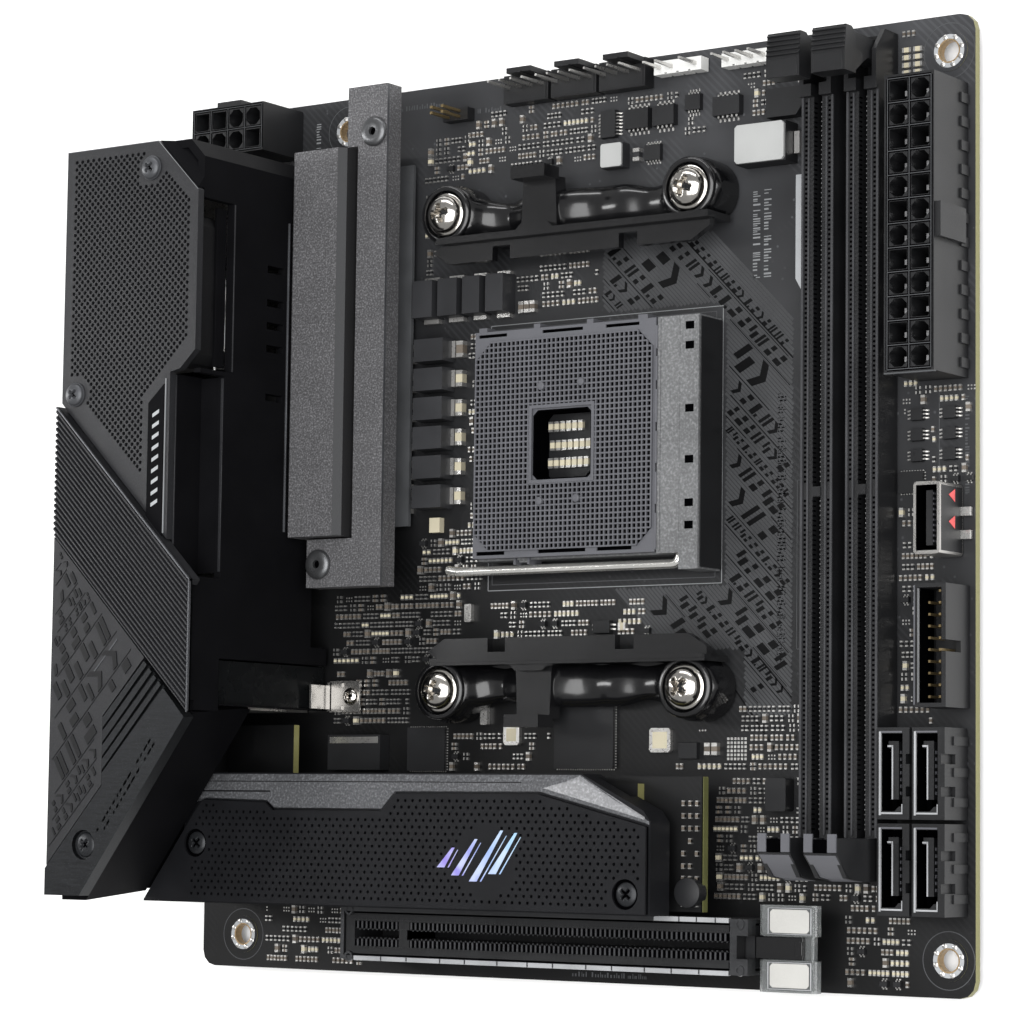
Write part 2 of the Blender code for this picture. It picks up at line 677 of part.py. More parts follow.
def make_ribbed_band():
    outline = [RIM_LINE[0], (COVER_REAR, 82.1), (31.7, 48.2), RIM_LINE[1]]
    band = prism(outline, 43.0, ROOF)
    rear_flange = [(COVER_REAR, 106.7), (COVER_REAR, 104.9), (30.9, 71.8), (31.7, 72.8)]
    join(band, prism(rear_flange, 40.8, 43.5))
    name_part(band, "cover_ribbed_band", cover_paint())


def make_lower_plate():
    outline = [(COVER_REAR, 81.7), (COVER_REAR, 19.8), (11.0, 34.9), (11.0, 47.8), (20.9, 58.5)]
    plate = prism(outline, 42.0, 43.6)
    name_part(plate, "cover_lower_plate", cover_paint())


def make_cover_bar():
    outline = [(COVER_REAR, 14.2), (6.4, 14.2), (31.1, 47.4), (21.2, 57.8), (11.4, 47.5), (11.4, 34.7),
               (COVER_REAR, 19.2)]
    bar = prism(outline, 41.2, ROOF)
    wide = 0.28
    ends = ((44.7, 22.6, 57.3), (42.0, 23.8, 56.0), (39.4, 25.0, 54.8), (36.8, 26.2, 53.6))
    grooves = [[(10.9, low - wide), (x + wide, high - wide), (x - wide, high + wide), (10.9, low + wide)]
               for low, x, high in ends]
    cut(bar, prisms(grooves, 43.3, 45))
    x, y = BAR_SCREW
    cut(bar, cylinder(x, y, 2.8, 42.9, 46, "Z", 14), cylinder(x, y, 1.5, 40, 46, "Z", 12))
    name_part(bar, "cover_bar", bar_metal())


def make_rear_plate():
    plate = box(-1.9, -1.3, 15.2, 155.8, -1.0, 40.2)
    holes = [rectangle(y0 - GAP, y1 + GAP, z0 - GAP, z1 + GAP) for y0, y1, z0, z1 in
             ((137.0, 153.0, GAP, 16.2), (119.5, 133.5, GAP, 15.9), (93.0, 107.0, GAP, 15.9),
              (73.0, 89.5, GAP, 29.5), (30.0, 43.5, GAP, 33.0))]
    cut(plate, prisms(holes, -3, 0, "X"))
    cut(plate, prisms([circle(ANTENNA_Y, z, 3.6, 14) for z in ANTENNA_Z], -3, 0, "X"))
    cut(plate, cylinder(BUTTON_Y, BUTTON_Z, 2.0, -3, 0, "X", 14))
    vents = []
    for row in range(3):
        for column in range(5):
            y = 92.0 + column * 9.6
            z = 20.5 + row * 5.6
            vents.append(rectangle(y, y + 7.2, z, z + 2.6))
    cut(plate, prisms(vents, -3, 0, "X"))
    name_part(plate, "rear_plate", cover_paint())


def make_fan():
    half = 14.7
    frame = prism(rounded_rectangle(FAN_X - half, FAN_X + half, FAN_Y - half, FAN_Y + half, 2.5, 2),
                  33.6, 40.3)
    cut(frame, cylinder(FAN_X, FAN_Y, FAN_R + 0.4, 30, 45, "Z", 28))
    join(frame, cylinder(FAN_X, FAN_Y, 5.8, 33.6, 34.4, "Z", 16))
    for degrees in (90, 210, 330):
        angle = math.radians(degrees)
        reach = FAN_R + 0.7
        side = Vector((-math.sin(angle), math.cos(angle))) * 0.8
        tip = Vector((math.cos(angle), math.sin(angle))) * reach
        centre = Vector((FAN_X, FAN_Y))
        corners = [centre + side, centre - side, centre - side + tip, centre + side + tip]
        join(frame, prism([(c.x, c.y) for c in corners], 33.6, 34.4))
    name_part(frame, "fan_frame", black_plastic())


def make_fan_rotor():
    rotor = cylinder(FAN_X, FAN_Y, 5.6, 34.8, 40.2, "Z", 18)
    blades = 9
    for i in range(blades):
        angle = 2 * math.pi * i / blades
        points = []
        for radius, turn, low, high in ((4.8, 0.0, 35.4, 39.0), (9.5, 0.10, 35.4, 39.2),
                                        (FAN_R, 0.16, 35.6, 39.0)):
            for z, shift, thick in ((low, -0.16, 0.035), (high, 0.16, 0.035)):
                for edge in (-thick, thick):
                    a = angle + turn + (shift + edge) * 5.6 / radius
                    points.append((FAN_X + radius * math.cos(a), FAN_Y + radius * math.sin(a), z))
        inner = hull(points[0:8])
        outer = hull(points[4:12])
        join(inner, outer)
        join(rotor, inner)
    name_part(rotor, "fan_rotor", black_plastic(), (FAN_X, FAN_Y, 37.5))


# ---------------------------------------------------------------- rear ports
def make_port_block(name, y0, y1, top, depth, openings, legs):
    """A metal-shelled port stack. Each opening is (y0, y1, z0, z1, depth)."""
    block = box(COVER_REAR, depth, y0, y1, GAP, top)
    for oy0, oy1, oz0, oz1, reach in openings:
        cut(block, prism(rectangle(oy0, oy1, oz0, oz1), COVER_REAR - 1, COVER_REAR + reach, "X"))
    join(block, *[leg(x, y) for x, y in legs])
    name_part(block, name, port_shell())


def usb_opening(centre, z):
    return (centre - 6.2, centre + 6.2, z, z + 4.9, 13.0)


def make_rear_ports():
    make_port_block("video_ports", 137.0, 153.0, 16.2, 16.0,
                    [(137.9, 152.1, 2.4, 7.0, 11.0), (137.9, 152.1, 9.8, 14.4, 11.0)], PORT_LEGS[0:2])
    make_port_block("usb_stack", 119.5, 133.5, 15.9, 16.0,
                    [usb_opening(126.5, 1.7), usb_opening(126.5, 9.6)], PORT_LEGS[2:4])
    make_port_block("usb_c_stack", 93.0, 107.0, 15.9, 16.0,
                    [usb_opening(100.0, 1.7), (95.7, 104.3, 10.6, 13.3, 7.0)], PORT_LEGS[4:6])
    make_port_block("network_stack", 73.0, 89.5, 29.5, 17.5,
                    [usb_opening(81.25, 1.7), usb_opening(81.25, 9.0),
                     (75.2, 87.3, 16.8, 27.0, 12.0)], PORT_LEGS[6:8])


def make_audio_jacks():
    block = box(COVER_REAR, 10.4, 30.0, 43.5, GAP, 33.0)
    bores = [circle(36.75, z, 1.85, 14) for z in (5.9, 16.6, 27.3)]
    cut(block, prisms(bores, COVER_REAR - 1, 7.6, "X"))
    join(block, *[leg(x, y) for x, y in PORT_LEGS[8:10]])
    name_part(block, "audio_jacks", black_plastic())


def make_wireless_module():
    module = box(1.0, 25.4, 49.6, 58.4, GAP, 33.0)
    tip = -REAR_REACH
    posts = [circle(ANTENNA_Y, z, 3.1, 14) for z in ANTENNA_Z]
    join(module, prisms(posts, tip, 2.0, "X"))
    cut(module, prisms([circle(ANTENNA_Y, z, 2.2, 12) for z in ANTENNA_Z], tip - 1, tip + 5, "X"))
    join(module, prisms([circle(ANTENNA_Y, z, 0.6, 8) for z in ANTENNA_Z], tip + 0.8, tip + 6, "X"))
    join(module, *[leg(x, y) for x, y in PORT_LEGS[10:12]])
    name_part(module, "wireless_module", port_shell())


def make_wireless_film():
    film = box(28.9, 29.5, 49.9, 58.3, 0.6, 33.1)
    name_part(film, "wireless_film", smoky_film())


def make_push_button():
    housing = box(-1.0, 6.6, 110.6, 116.4, GAP, 6.6)
    cut(housing, cylinder(BUTTON_Y, BUTTON_Z, 1.9, -2, 5.4, "X", 14))
    join(housing, *[leg(x, y) for x, y in PORT_LEGS[12:14]])
    name_part(housing, "push_button_housing", black_plastic())
    button = cylinder(BUTTON_Y, BUTTON_Z, 1.6, -2.6, 4.0, "X", 14)
    name_part(button, "push_button", white_plastic(), (0.7, BUTTON_Y, BUTTON_Z))


# ---------------------------------------------------------------- drive heatsink
DRIVE_SCREWS = ((112.6, 16.6), (14.7, 24.2))


def make_drive_board():
    outline = [(17.6, 13.6), (122.3, 13.6), (122.3, 37.3), (30.3, 37.3), (30.3, 46.9), (14.2, 46.9),
               (14.2, 29.0), (4.0, 13.6 + 0.2), (4.0, 13.6)]
    board = prism(outline, 8.9, 10.5)
    join(board, box(66.0, 96.0, 18.0, 26.0, GAP, 9.2))
    join(board, box(104.0, 110.0, 15.5, 36.0, 10.2, 12.6))
    name_part(board, "drive_board", black_board())


def make_drive_heatsink():
    outline = [(1.0, 12.9), (117.1, 12.9), (117.1, 29.2), (115.6, 31.2), (102.5, 37.6), (11.0, 37.6),
               (11.0, 26.4)]
    body = prism(outline, 13.2, 19.5)
    cut(body, box(103.6, 110.4, 15.1, 40, 12, 15.6))
    cut(body, prisms([circle(x, y, 1.3, 12) for x, y in DRIVE_SCREWS], 12, 20))
    name_part(body, "drive_heatsink", blasted_aluminium())


def make_drive_cover():
    outline = [(2.0, 13.2), (116.8, 13.2), (116.8, 28.8), (94.0, 34.0), (52.0, 34.0), (48.5, 30.8),
               (20.5, 30.8), (14.3, 30.0)]
    cover = prism(outline, 19.8, 20.6)
    cut(cover, prisms([circle(x, y, 2.7, 14) for x, y in DRIVE_SCREWS], 18, 22))
    name_part(cover, "drive_heatsink_cover", cover_paint())


def clear_scene():
    for existing in list(bpy.data.objects):
        bpy.data.objects.remove(existing)


def main():
    clear_scene()
    make_board()
    make_backplate()
    make_socket_base()
    make_socket_cover()
    make_socket_lever()
    make_bracket("cooler_bracket_upper", 1)
    make_bracket("cooler_bracket_lower", -1)
    for index, (x, y) in enumerate(cooler_corners()):
        make_dome_screw(f"cooler_screw_{index + 1}", x, y, 7.9, 4.2, 2.8, 1.0, 8.4)
    make_power_header()
    make_processor_power_header()
    for letter, x in zip("ab", DIMM_X):
        make_dimm_slot(f"memory_slot_{letter}", x)
        make_dimm_latch(f"memory_latch_{letter}", x)
    make_expansion_slot()
    make_slot_shield()
    make_slot_latch()
    for index, (x, y) in enumerate(((155.8, 13.9), (162.5, 13.9), (155.8, 30.2), (162.5, 30.2))):
        make_drive_port(f"drive_port_{index + 1}", x, y)
    make_shrouded_header()
    make_front_panel_port()
    for index, x in enumerate(FAN_HEADER_X):
        make_fan_header(f"fan_header_{index + 1}", x)
    for index, (x, y) in enumerate(LIGHT_HEADERS):
        make_light_header(f"light_header_{index + 1}", x, y)
    make_heatsink_block()
    make_heatsink_bar()
    for index, (x, y) in enumerate(BAR_SCREWS):
        make_dome_screw(f"heatsink_screw_{index + 1}", x, y, 12.25, 2.9, 0.9, 1.0, 4.0)
    make_cover_side_wall()
    make_mesh_panel()
    make_ribbed_band()
    make_lower_plate()
    make_cover_bar()
    for index, (x, y) in enumerate(MESH_SCREWS):
        make_dome_screw(f"cover_screw_{index + 1}", x, y, MESH_TOP + 0.25, 2.1, 1.0, 1.1, 1.6)
    make_dome_screw("cover_screw_3", *BAR_SCREW, 43.15, 2.4, 0.7, 1.1, 2.6)
    make_fan()
    make_fan_rotor()
    make_rear_plate()
    make_rear_ports()
    make_audio_jacks()
    make_wireless_module()
    make_wireless_film()
    make_push_button()
    make_drive_board()
    make_drive_heatsink()
    make_drive_cover()
    for index, (x, y) in enumerate(DRIVE_SCREWS):
        make_dome_screw(f"drive_screw_{index + 1}", x, y, 19.75, 2.3, 0.9, 1.0, 6.8)


main()
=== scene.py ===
"""Looks of a Mini-ITX motherboard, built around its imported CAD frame.

Positions are in board millimetres: x from the rear edge, y from the expansion-slot edge,
z up from the board's top face. place() turns them into metres in the frame's own space.
"""
import math
import random

import bpy
import bmesh
from mathutils import Matrix, Vector
from mathutils.geometry import delaunay_2d_cdt


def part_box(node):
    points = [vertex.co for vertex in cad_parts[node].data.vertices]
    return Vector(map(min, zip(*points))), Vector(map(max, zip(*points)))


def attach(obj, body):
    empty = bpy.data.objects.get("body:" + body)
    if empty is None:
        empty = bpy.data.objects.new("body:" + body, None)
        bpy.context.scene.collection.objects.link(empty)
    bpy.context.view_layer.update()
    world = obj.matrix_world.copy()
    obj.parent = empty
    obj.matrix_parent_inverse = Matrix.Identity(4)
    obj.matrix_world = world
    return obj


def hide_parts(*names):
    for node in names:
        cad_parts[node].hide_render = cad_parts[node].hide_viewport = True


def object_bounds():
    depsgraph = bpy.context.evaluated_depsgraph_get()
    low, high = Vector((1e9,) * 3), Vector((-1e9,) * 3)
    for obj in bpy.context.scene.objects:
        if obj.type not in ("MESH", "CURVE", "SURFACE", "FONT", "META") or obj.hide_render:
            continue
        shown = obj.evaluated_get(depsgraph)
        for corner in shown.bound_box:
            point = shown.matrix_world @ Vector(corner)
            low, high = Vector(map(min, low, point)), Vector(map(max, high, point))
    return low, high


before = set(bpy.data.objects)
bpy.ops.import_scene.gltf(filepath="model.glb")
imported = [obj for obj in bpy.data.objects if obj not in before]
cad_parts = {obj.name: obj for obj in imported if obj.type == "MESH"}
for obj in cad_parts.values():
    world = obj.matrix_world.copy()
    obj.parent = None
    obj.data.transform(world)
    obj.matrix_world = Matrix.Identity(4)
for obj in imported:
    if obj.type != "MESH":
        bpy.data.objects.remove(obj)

for leftover in ("Cube", "Light", "Camera"):
    if leftover in bpy.data.objects:
        bpy.data.objects.remove(bpy.data.objects[leftover])
CAD_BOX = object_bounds()

MM = 0.001
PAD_RISE = 0.1                   # how far the CAD board's lands stand above its face
BOARD_LOW, BOARD_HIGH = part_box("pcb")
ZERO = Vector((BOARD_LOW.x, BOARD_LOW.y, BOARD_HIGH.z - PAD_RISE * MM))


def place(x, y, z):
    """A point in the frame's metres from board millimetres."""
    return (ZERO.x + x * MM, ZERO.y + y * MM, ZERO.z + z * MM)


def node_box(name):
    """Lowest and highest corner of a CAD node in board millimetres."""
    return [(corner - ZERO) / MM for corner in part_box(name)]


def node_middle(name):
    low, high = node_box(name)
    return (low.x + high.x) / 2, (low.y + high.y) / 2


# ---------------------------------------------------------------- shapes
class Shape:
    """Faces in board millimetres, each with the number of its finish."""

    def __init__(self):
        self.points = []
        self.faces = []
        self.finishes = []

    def add(self, points, faces, finish=0):
        first = len(self.points)
        self.points.extend(points)
        for face in faces:
            self.faces.append([first + i for i in face])
            self.finishes.append(finish)

    def boxes(self, finish, *rows):
        for row in rows:
            self.box(*row, finish)

    def box(self, x0, x1, y0, y1, z0, z1, finish=0):
        points = [(x, y, z) for z in (z0, z1) for y in (y0, y1) for x in (x0, x1)]
        sides = ((0, 2, 3, 1), (4, 5, 7, 6), (0, 1, 5, 4), (1, 3, 7, 5), (3, 2, 6, 7), (2, 0, 4, 6))
        self.add(points, sides, finish)

    def laid(self, along_y, a0, a1, b0, b1, z0, z1, finish):
        """A box from a0 to a1 along one axis and from b0 to b1 along the other."""
        span = (b0, b1, a0, a1) if along_y else (a0, a1, b0, b1)
        self.box(*span, z0, z1, finish)

    def beside(self, along_y, middle, side, near, far, b0, b1, z0, z1, finish):
        """A box from near to far beside a middle line, on its low side if side is -1."""
        a0, a1 = sorted((middle + side * near, middle + side * far))
        self.laid(along_y, a0, a1, b0, b1, z0, z1, finish)

    def prism(self, outline, low, high, axis="Z", finish=0, top=None):
        """An outline raised from low to high. top, if given, is the outline at the high end."""
        count = len(outline)
        points = [turned(axis, u, v, low) for u, v in outline]
        points += [turned(axis, u, v, high) for u, v in (top or outline)]
        sides = [list(range(count - 1, -1, -1)), list(range(count, 2 * count))]
        sides += [(i, (i + 1) % count, (i + 1) % count + count, i + count) for i in range(count)]
        self.add(points, sides, finish)

    def cylinder(self, u, v, radius, low, high, axis="Z", finish=0, sides=20):
        self.prism(circle(u, v, radius, sides), low, high, axis, finish)

    def lathe(self, profile, x, y, finish=0, sides=32, axis="Z"):
        """profile is a list of (radius, height); a radius of 0 closes an end."""
        rings = []
        points = []
        for radius, height in profile:
            ring = circle(x, y, radius, sides) if radius > 0 else [(x, y)]
            rings.append(list(range(len(points), len(points) + len(ring))))
            points += [turned(axis, u, v, height) for u, v in ring]
        faces = []
        for low, high in zip(rings, rings[1:]):
            for i in range(sides):
                j = (i + 1) % sides
                if len(low) > 1 and len(high) > 1:
                    faces.append((low[i], low[j], high[j], high[i]))
                elif len(low) > 1:
                    faces.append((low[i], low[j], high[0]))
                elif len(high) > 1:
                    faces.append((low[0], high[j], high[i]))
        self.add(points, faces, finish)

    def tube(self, route, radius, finish=0, sides=8):
        """A round wire along a route of points."""
        points = []
        places = [Vector(point) for point in route]
        for index, spot in enumerate(places):
            before = places[max(index - 1, 0)]
            after = places[min(index + 1, len(places) - 1)]
            direction = (after - before).normalized()
            up = Vector((0, 1, 0)) if abs(direction.z) > 0.9 else Vector((0, 0, 1))
            side = direction.cross(up).normalized()
            lift = side.cross(direction)
            for i in range(sides):
                angle = 2 * math.pi * i / sides
                points.append(spot + side * radius * math.cos(angle) + lift * radius * math.sin(angle))
        faces = []
        for k in range(len(places) - 1):
            for i in range(sides):
                j = (i + 1) % sides
                faces.append((k * sides + i, k * sides + j, (k + 1) * sides + j, (k + 1) * sides + i))
        faces.append(list(range(sides)))
        faces.append(list(range((len(places) - 1) * sides, len(places) * sides)))
        self.add(points, faces, finish)

    def grid(self, rows, finish=0, closed=False):
        """A sheet through rows of points that all have the same count."""
        count = len(rows[0])
        points = [point for row in rows for point in row]
        faces = []
        for r in range(len(rows) - 1):
            for c in range(count if closed else count - 1):
                d = (c + 1) % count
                faces.append((r * count + c, r * count + d, (r + 1) * count + d, (r + 1) * count + c))
        self.add(points, faces, finish)

    def loft(self, rows, finish=0):
        """A closed body through rows of points, each of them a ring."""
        self.grid(rows, finish, closed=True)
        for end in (rows[0], rows[-1]):
            self.add(end, [list(range(len(end)))], finish)

    def plate(self, outline, holes, low, high, finish=0):
        """A flat plate with holes, as one closed body. All outlines run counterclockwise."""
        loops = [outline] + list(holes)
        flat = [Vector(point) for loop in loops for point in loop]
        constraints = []
        first = 0
        for loop in loops:
            constraints.append(list(range(first, first + len(loop))))
            first += len(loop)
        spots, _, triangles, _, _, origins = delaunay_2d_cdt(flat, [], constraints, 1, 1e-6)
        solid = [tri for tri, source in zip(triangles, origins) if list(source) == [0]]
        count = len(spots)
        points = [(p.x, p.y, low) for p in spots] + [(p.x, p.y, high) for p in spots]
        faces = [tuple(reversed(tri)) for tri in solid] + [tuple(i + count for i in tri) for tri in solid]
        borders = {}
        for tri in solid:
            for i in range(len(tri)):
                edge = (tri[i], tri[(i + 1) % len(tri)])
                borders[edge] = borders.get(edge, 0) + 1
        for a, b in borders:
            if (b, a) not in borders:
                faces.append((a, b, b + count, a + count))
        self.add(points, faces, finish)


def turned(axis, u, v, w):
    if axis == "X":
        return (w, u, v)
    if axis == "Y":
        return (u, w, v)
    return (u, v, w)


def chamfered(x0, x1, y0, y1, size):
    """A rectangle whose corners are cut off, counterclockwise."""
    return [(x0 + size, y0), (x1 - size, y0), (x1, y0 + size), (x1, y1 - size), (x1 - size, y1),
            (x0 + size, y1), (x0, y1 - size), (x0, y0 + size)]


def smooth_step(value, low, high):
    t = max(0.0, min(1.0, (value - low) / (high - low)))
    return t * t * (3 - 2 * t)


def circle(x, y, radius, sides, start=0.0):
    step = 2 * math.pi / sides
    return [(x + radius * math.cos(start + i * step), y + radius * math.sin(start + i * step))
            for i in range(sides)]


def rectangle(x0, x1, y0, y1):
    return [(x0, y0), (x1, y0), (x1, y1), (x0, y1)]


def inside(x, y, outline):
    """True if the point lies in the outline."""
    found = False
    for (ax, ay), (bx, by) in zip(outline, outline[1:] + outline[:1]):
        if (ay > y) != (by > y) and x < (bx - ax) * (y - ay) / (by - ay) + ax:
            found = not found
    return found


def margin(x, y, outline):
    """Distance from the point to the outline's nearest side."""
    nearest = 1e9
    for (ax, ay), (bx, by) in zip(outline, outline[1:] + outline[:1]):
        length = (bx - ax) ** 2 + (by - ay) ** 2
        t = max(0.0, min(1.0, ((x - ax) * (bx - ax) + (y - ay) * (by - ay)) / length))
        nearest = min(nearest, math.hypot(x - ax - t * (bx - ax), y - ay - t * (by - ay)))
    return nearest


def build(shape, name, finishes, body="board", bevel=0.0, segments=1, smooth=40, replaces=(),
          fix=True):
    """Turns a shape into a piece that rides on a body. fix turns all its faces outwards."""
    mesh = bpy.data.meshes.new(name)
    mesh.from_pydata([place(*point) for point in shape.points], [], shape.faces)
    for finish in finishes:
        mesh.materials.append(finish)
    mesh.polygons.foreach_set("material_index", shape.finishes)
    if fix:
        builder = bmesh.new()
        builder.from_mesh(mesh)
        bmesh.ops.recalc_face_normals(builder, faces=builder.faces)
        builder.to_mesh(mesh)
        builder.free()
    mesh.shade_smooth()
    mesh.set_sharp_from_angle(angle=math.radians(smooth))
    piece = bpy.data.objects.new(name, mesh)
    bpy.context.scene.collection.objects.link(piece)
    if bevel:
        round_edges(piece, bevel, segments)
    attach(piece, body)
    if replaces:
        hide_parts(*replaces)
    return piece


def round_edges(piece, width, segments=1):
    """Bevels a piece's sharp edges, width in millimetres."""
    modifier = piece.modifiers.new("edges", "BEVEL")
    modifier.width = width * MM
    modifier.segments = segments
    modifier.limit_method = "ANGLE"
    modifier.angle_limit = math.radians(35)


# ---------------------------------------------------------------- finishes
class Graph:
    """Small helper for building a material's nodes."""

    def __init__(self, name):
        self.material = bpy.data.materials.new(name)
        self.material.use_nodes = True
        self.tree = self.material.node_tree
        self.shader = self.tree.nodes["Principled BSDF"]
        self.object_place = self.node("ShaderNodeTexCoord").outputs["Object"]

    def node(self, kind, **settings):
        made = self.tree.nodes.new(kind)
        for key, value in settings.items():
            setattr(made, key, value)
        return made

    def link(self, source, target):
        self.tree.links.new(source, target)

    def mapped(self, scale, turn=(0, 0, 0)):
        """Object coordinates, scaled and turned; a scale below 1 draws a pattern out."""
        mapping = self.node("ShaderNodeMapping")
        mapping.inputs["Scale"].default_value = scale
        mapping.inputs["Rotation"].default_value = turn
        self.link(self.object_place, mapping.inputs["Vector"])
        return mapping.outputs["Vector"]

    def noise(self, size, detail=2.0, place_from=None):
        """Noise whose features are about size millimetres across, from 0 to 1."""
        made = self.node("ShaderNodeTexNoise")
        made.inputs["Scale"].default_value = 1.0 / (size * MM)
        made.inputs["Detail"].default_value = detail
        self.link(place_from or self.object_place, made.inputs["Vector"])
        return made.outputs["Fac"]

    def ramp(self, source, low, high, low_value, high_value):
        """The source's range from low to high, mapped on low_value to high_value."""
        made = self.node("ShaderNodeMapRange")
        limits = {"From Min": low, "From Max": high, "To Min": low_value, "To Max": high_value}
        for key, value in limits.items():
            made.inputs[key].default_value = value
        self.link(source, made.inputs["Value"])
        return made.outputs["Result"]

    def math(self, operation, first, second):
        made = self.node("ShaderNodeMath", operation=operation)
        for socket, value in zip(made.inputs, (first, second)):
            if isinstance(value, (int, float)):
                socket.default_value = value
            else:
                self.link(value, socket)
        return made.outputs[0]

    def scale(self, colour, factor):
        """The colour times another node's number."""
        made = self.node("ShaderNodeVectorMath", operation="SCALE")
        self.link(colour, made.inputs[0])
        self.link(factor, made.inputs["Scale"])
        return made.outputs[0]

    def mix(self, factor, first, second):
        made = self.node("ShaderNodeMix", data_type="RGBA")
        for socket, value in zip((made.inputs[0], made.inputs[6], made.inputs[7]), (factor, first, second)):
            if isinstance(value, (int, float)):
                socket.default_value = value
            elif isinstance(value, tuple):
                socket.default_value = (*value[:3], 1.0)
            else:
                self.link(value, socket)
        return made.outputs[2]

    def bump(self, height, strength, distance):
        """Relief from a height; distance is in millimetres."""
        made = self.node("ShaderNodeBump")
        made.inputs["Strength"].default_value = strength
        made.inputs["Distance"].default_value = distance * MM
        self.link(height, made.inputs["Height"])
        self.link(made.outputs["Normal"], self.shader.inputs["Normal"])

    def colour(self, source):
        self.link(source, self.shader.inputs["Base Color"])

    def rough(self, source):
        self.link(source, self.shader.inputs["Roughness"])


def scaled(colour, amount):
    """The colour times amount, with no channel above 1."""
    return tuple(min(1.0, channel * amount) for channel in colour)


def make_finish(name, colour, roughness, metallic=0.0, grain=0.15, strength=0.2, mottle=0.25, cloud=9.0,
                spread=0.08, coat=0.0, per_part=0.0, stretch=(1, 1, 1), specular=0.3, fleck=0.0,
                painted_side_shade=False):
    """A surface with fine grain in its relief and slow variation in its colour and gloss.

    grain and cloud are the sizes of both in millimetres, mottle and spread how far colour and
    gloss vary. fleck adds dark and light grit, per_part shades each loose part differently, and
    the last switch paints shade on faces that look along +x, as if a neighbour shadowed them.
    """
    g = Graph(name)
    g.shader.inputs["Metallic"].default_value = metallic
    g.shader.inputs["Specular IOR Level"].default_value = specular
    g.shader.inputs["Coat Weight"].default_value = coat
    g.shader.inputs["Coat Roughness"].default_value = 0.08
    where = g.mapped(stretch)
    fine = g.noise(grain, 3.0, where)
    slow = g.noise(cloud, 2.0, where)
    shade = g.mix(g.ramp(slow, 0.3, 0.7, 0, 1), scaled(colour, 1 - mottle), scaled(colour, 1 + mottle))
    shade = g.mix(g.ramp(fine, 0.25, 0.75, 0, 0.5), shade, scaled(colour, 1 + 1.6 * mottle))
    if fleck:
        grit = g.noise(grain * 2.2, 2.0, where)
        shade = g.mix(g.ramp(grit, 0.36, 0.64, fleck, 0), shade, scaled(colour, 0.15))
        shade = g.mix(g.ramp(grit, 0.55, 0.75, 0, fleck), shade, scaled(colour, 2.2))
    # painted shade: faces that look along +x get a much darker colour
    if painted_side_shade:
        facing = g.node("ShaderNodeSeparateXYZ")
        g.link(g.node("ShaderNodeNewGeometry").outputs["Normal"], facing.inputs[0])
        shade = g.mix(g.math("GREATER_THAN", facing.outputs["X"], 0.3), shade, scaled(colour, 0.22))
    if per_part:
        island = g.node("ShaderNodeNewGeometry").outputs["Random Per Island"]
        shade = g.mix(g.ramp(island, 0, 1, 0, per_part), shade, scaled(colour, 0.35))
    g.colour(shade)
    g.rough(g.ramp(g.math("ADD", g.math("MULTIPLY", slow, 0.5), g.math("MULTIPLY", fine, 0.5)), 0.3, 0.7,
                   max(0.03, roughness - spread), roughness + spread))
    g.bump(fine, strength, 0.05)
    return g.material


def make_board_mask():
    """Black solder mask over fine tracks, with the bare laminate on the board's sides, and painted light that
    makes the mask slowly lighter towards one corner.
    """
    g = Graph("board_mask_gloss")
    base = (0.0072, 0.0074, 0.0080)
    g.shader.inputs["Specular IOR Level"].default_value = 0.25
    # bundles of diagonal tracks in some patches
    tracks = g.node("ShaderNodeTexWave", wave_type="BANDS", bands_direction="DIAGONAL")
    tracks.inputs["Scale"].default_value = 420.0
    g.link(g.object_place, tracks.inputs["Vector"])
    patches = g.noise(16.0, 1.0)
    bundle = g.math("MULTIPLY", g.ramp(tracks.outputs["Fac"], 0.55, 0.75, 0, 1),
                    g.ramp(patches, 0.52, 0.56, 0, 1))
    slow = g.noise(22.0, 3.0)
    shade = g.mix(g.ramp(slow, 0.3, 0.7, 0, 1), scaled(base, 0.75), scaled(base, 1.3))
    shade = g.mix(g.math("MULTIPLY", bundle, 0.4), shade, scaled(base, 2.0))
    # round via dots
    vias = g.node("ShaderNodeTexVoronoi", feature="F1")
    vias.inputs["Scale"].default_value = 480.0
    vias.inputs["Randomness"].default_value = 0.9
    g.link(g.object_place, vias.inputs["Vector"])
    dots = g.math("MULTIPLY", g.ramp(vias.outputs["Distance"], 0.1, 0.14, 1, 0),
                  g.ramp(g.noise(9.0, 1.0), 0.5, 0.6, 0, 1))
    shade = g.mix(g.math("MULTIPLY", dots, 0.7), shade, scaled(base, 3.2))
    facing = g.node("ShaderNodeSeparateXYZ")
    g.link(g.node("ShaderNodeNewGeometry").outputs["Normal"], facing.inputs[0])
    flat = g.math("GREATER_THAN", g.math("ABSOLUTE", facing.outputs["Z"], 0), 0.5)
    # painted light: slowly lighter towards the far end of both axes, as if a lamp stood near that corner
    spot = g.node("ShaderNodeSeparateXYZ")
    g.link(g.object_place, spot.inputs[0])
    lean = g.math("ADD", g.math("MULTIPLY", spot.outputs["X"], 0.6), spot.outputs["Y"])
    shade = g.scale(shade, g.ramp(lean, -0.035, 0.13, 0.45, 4.5))
    # laminate on the sides
    weave = g.noise(0.5, 2.0, g.mapped((1, 1, 6)))
    edge = g.mix(weave, (0.12, 0.115, 0.045), (0.26, 0.245, 0.10))
    g.colour(g.mix(flat, edge, shade))
    g.rough(g.ramp(slow, 0.3, 0.7, 0.36, 0.5))
    g.bump(g.math("ADD", g.math("MULTIPLY", bundle, 0.8), g.noise(0.3, 2.0)), 0.12, 0.06)
    return g.material


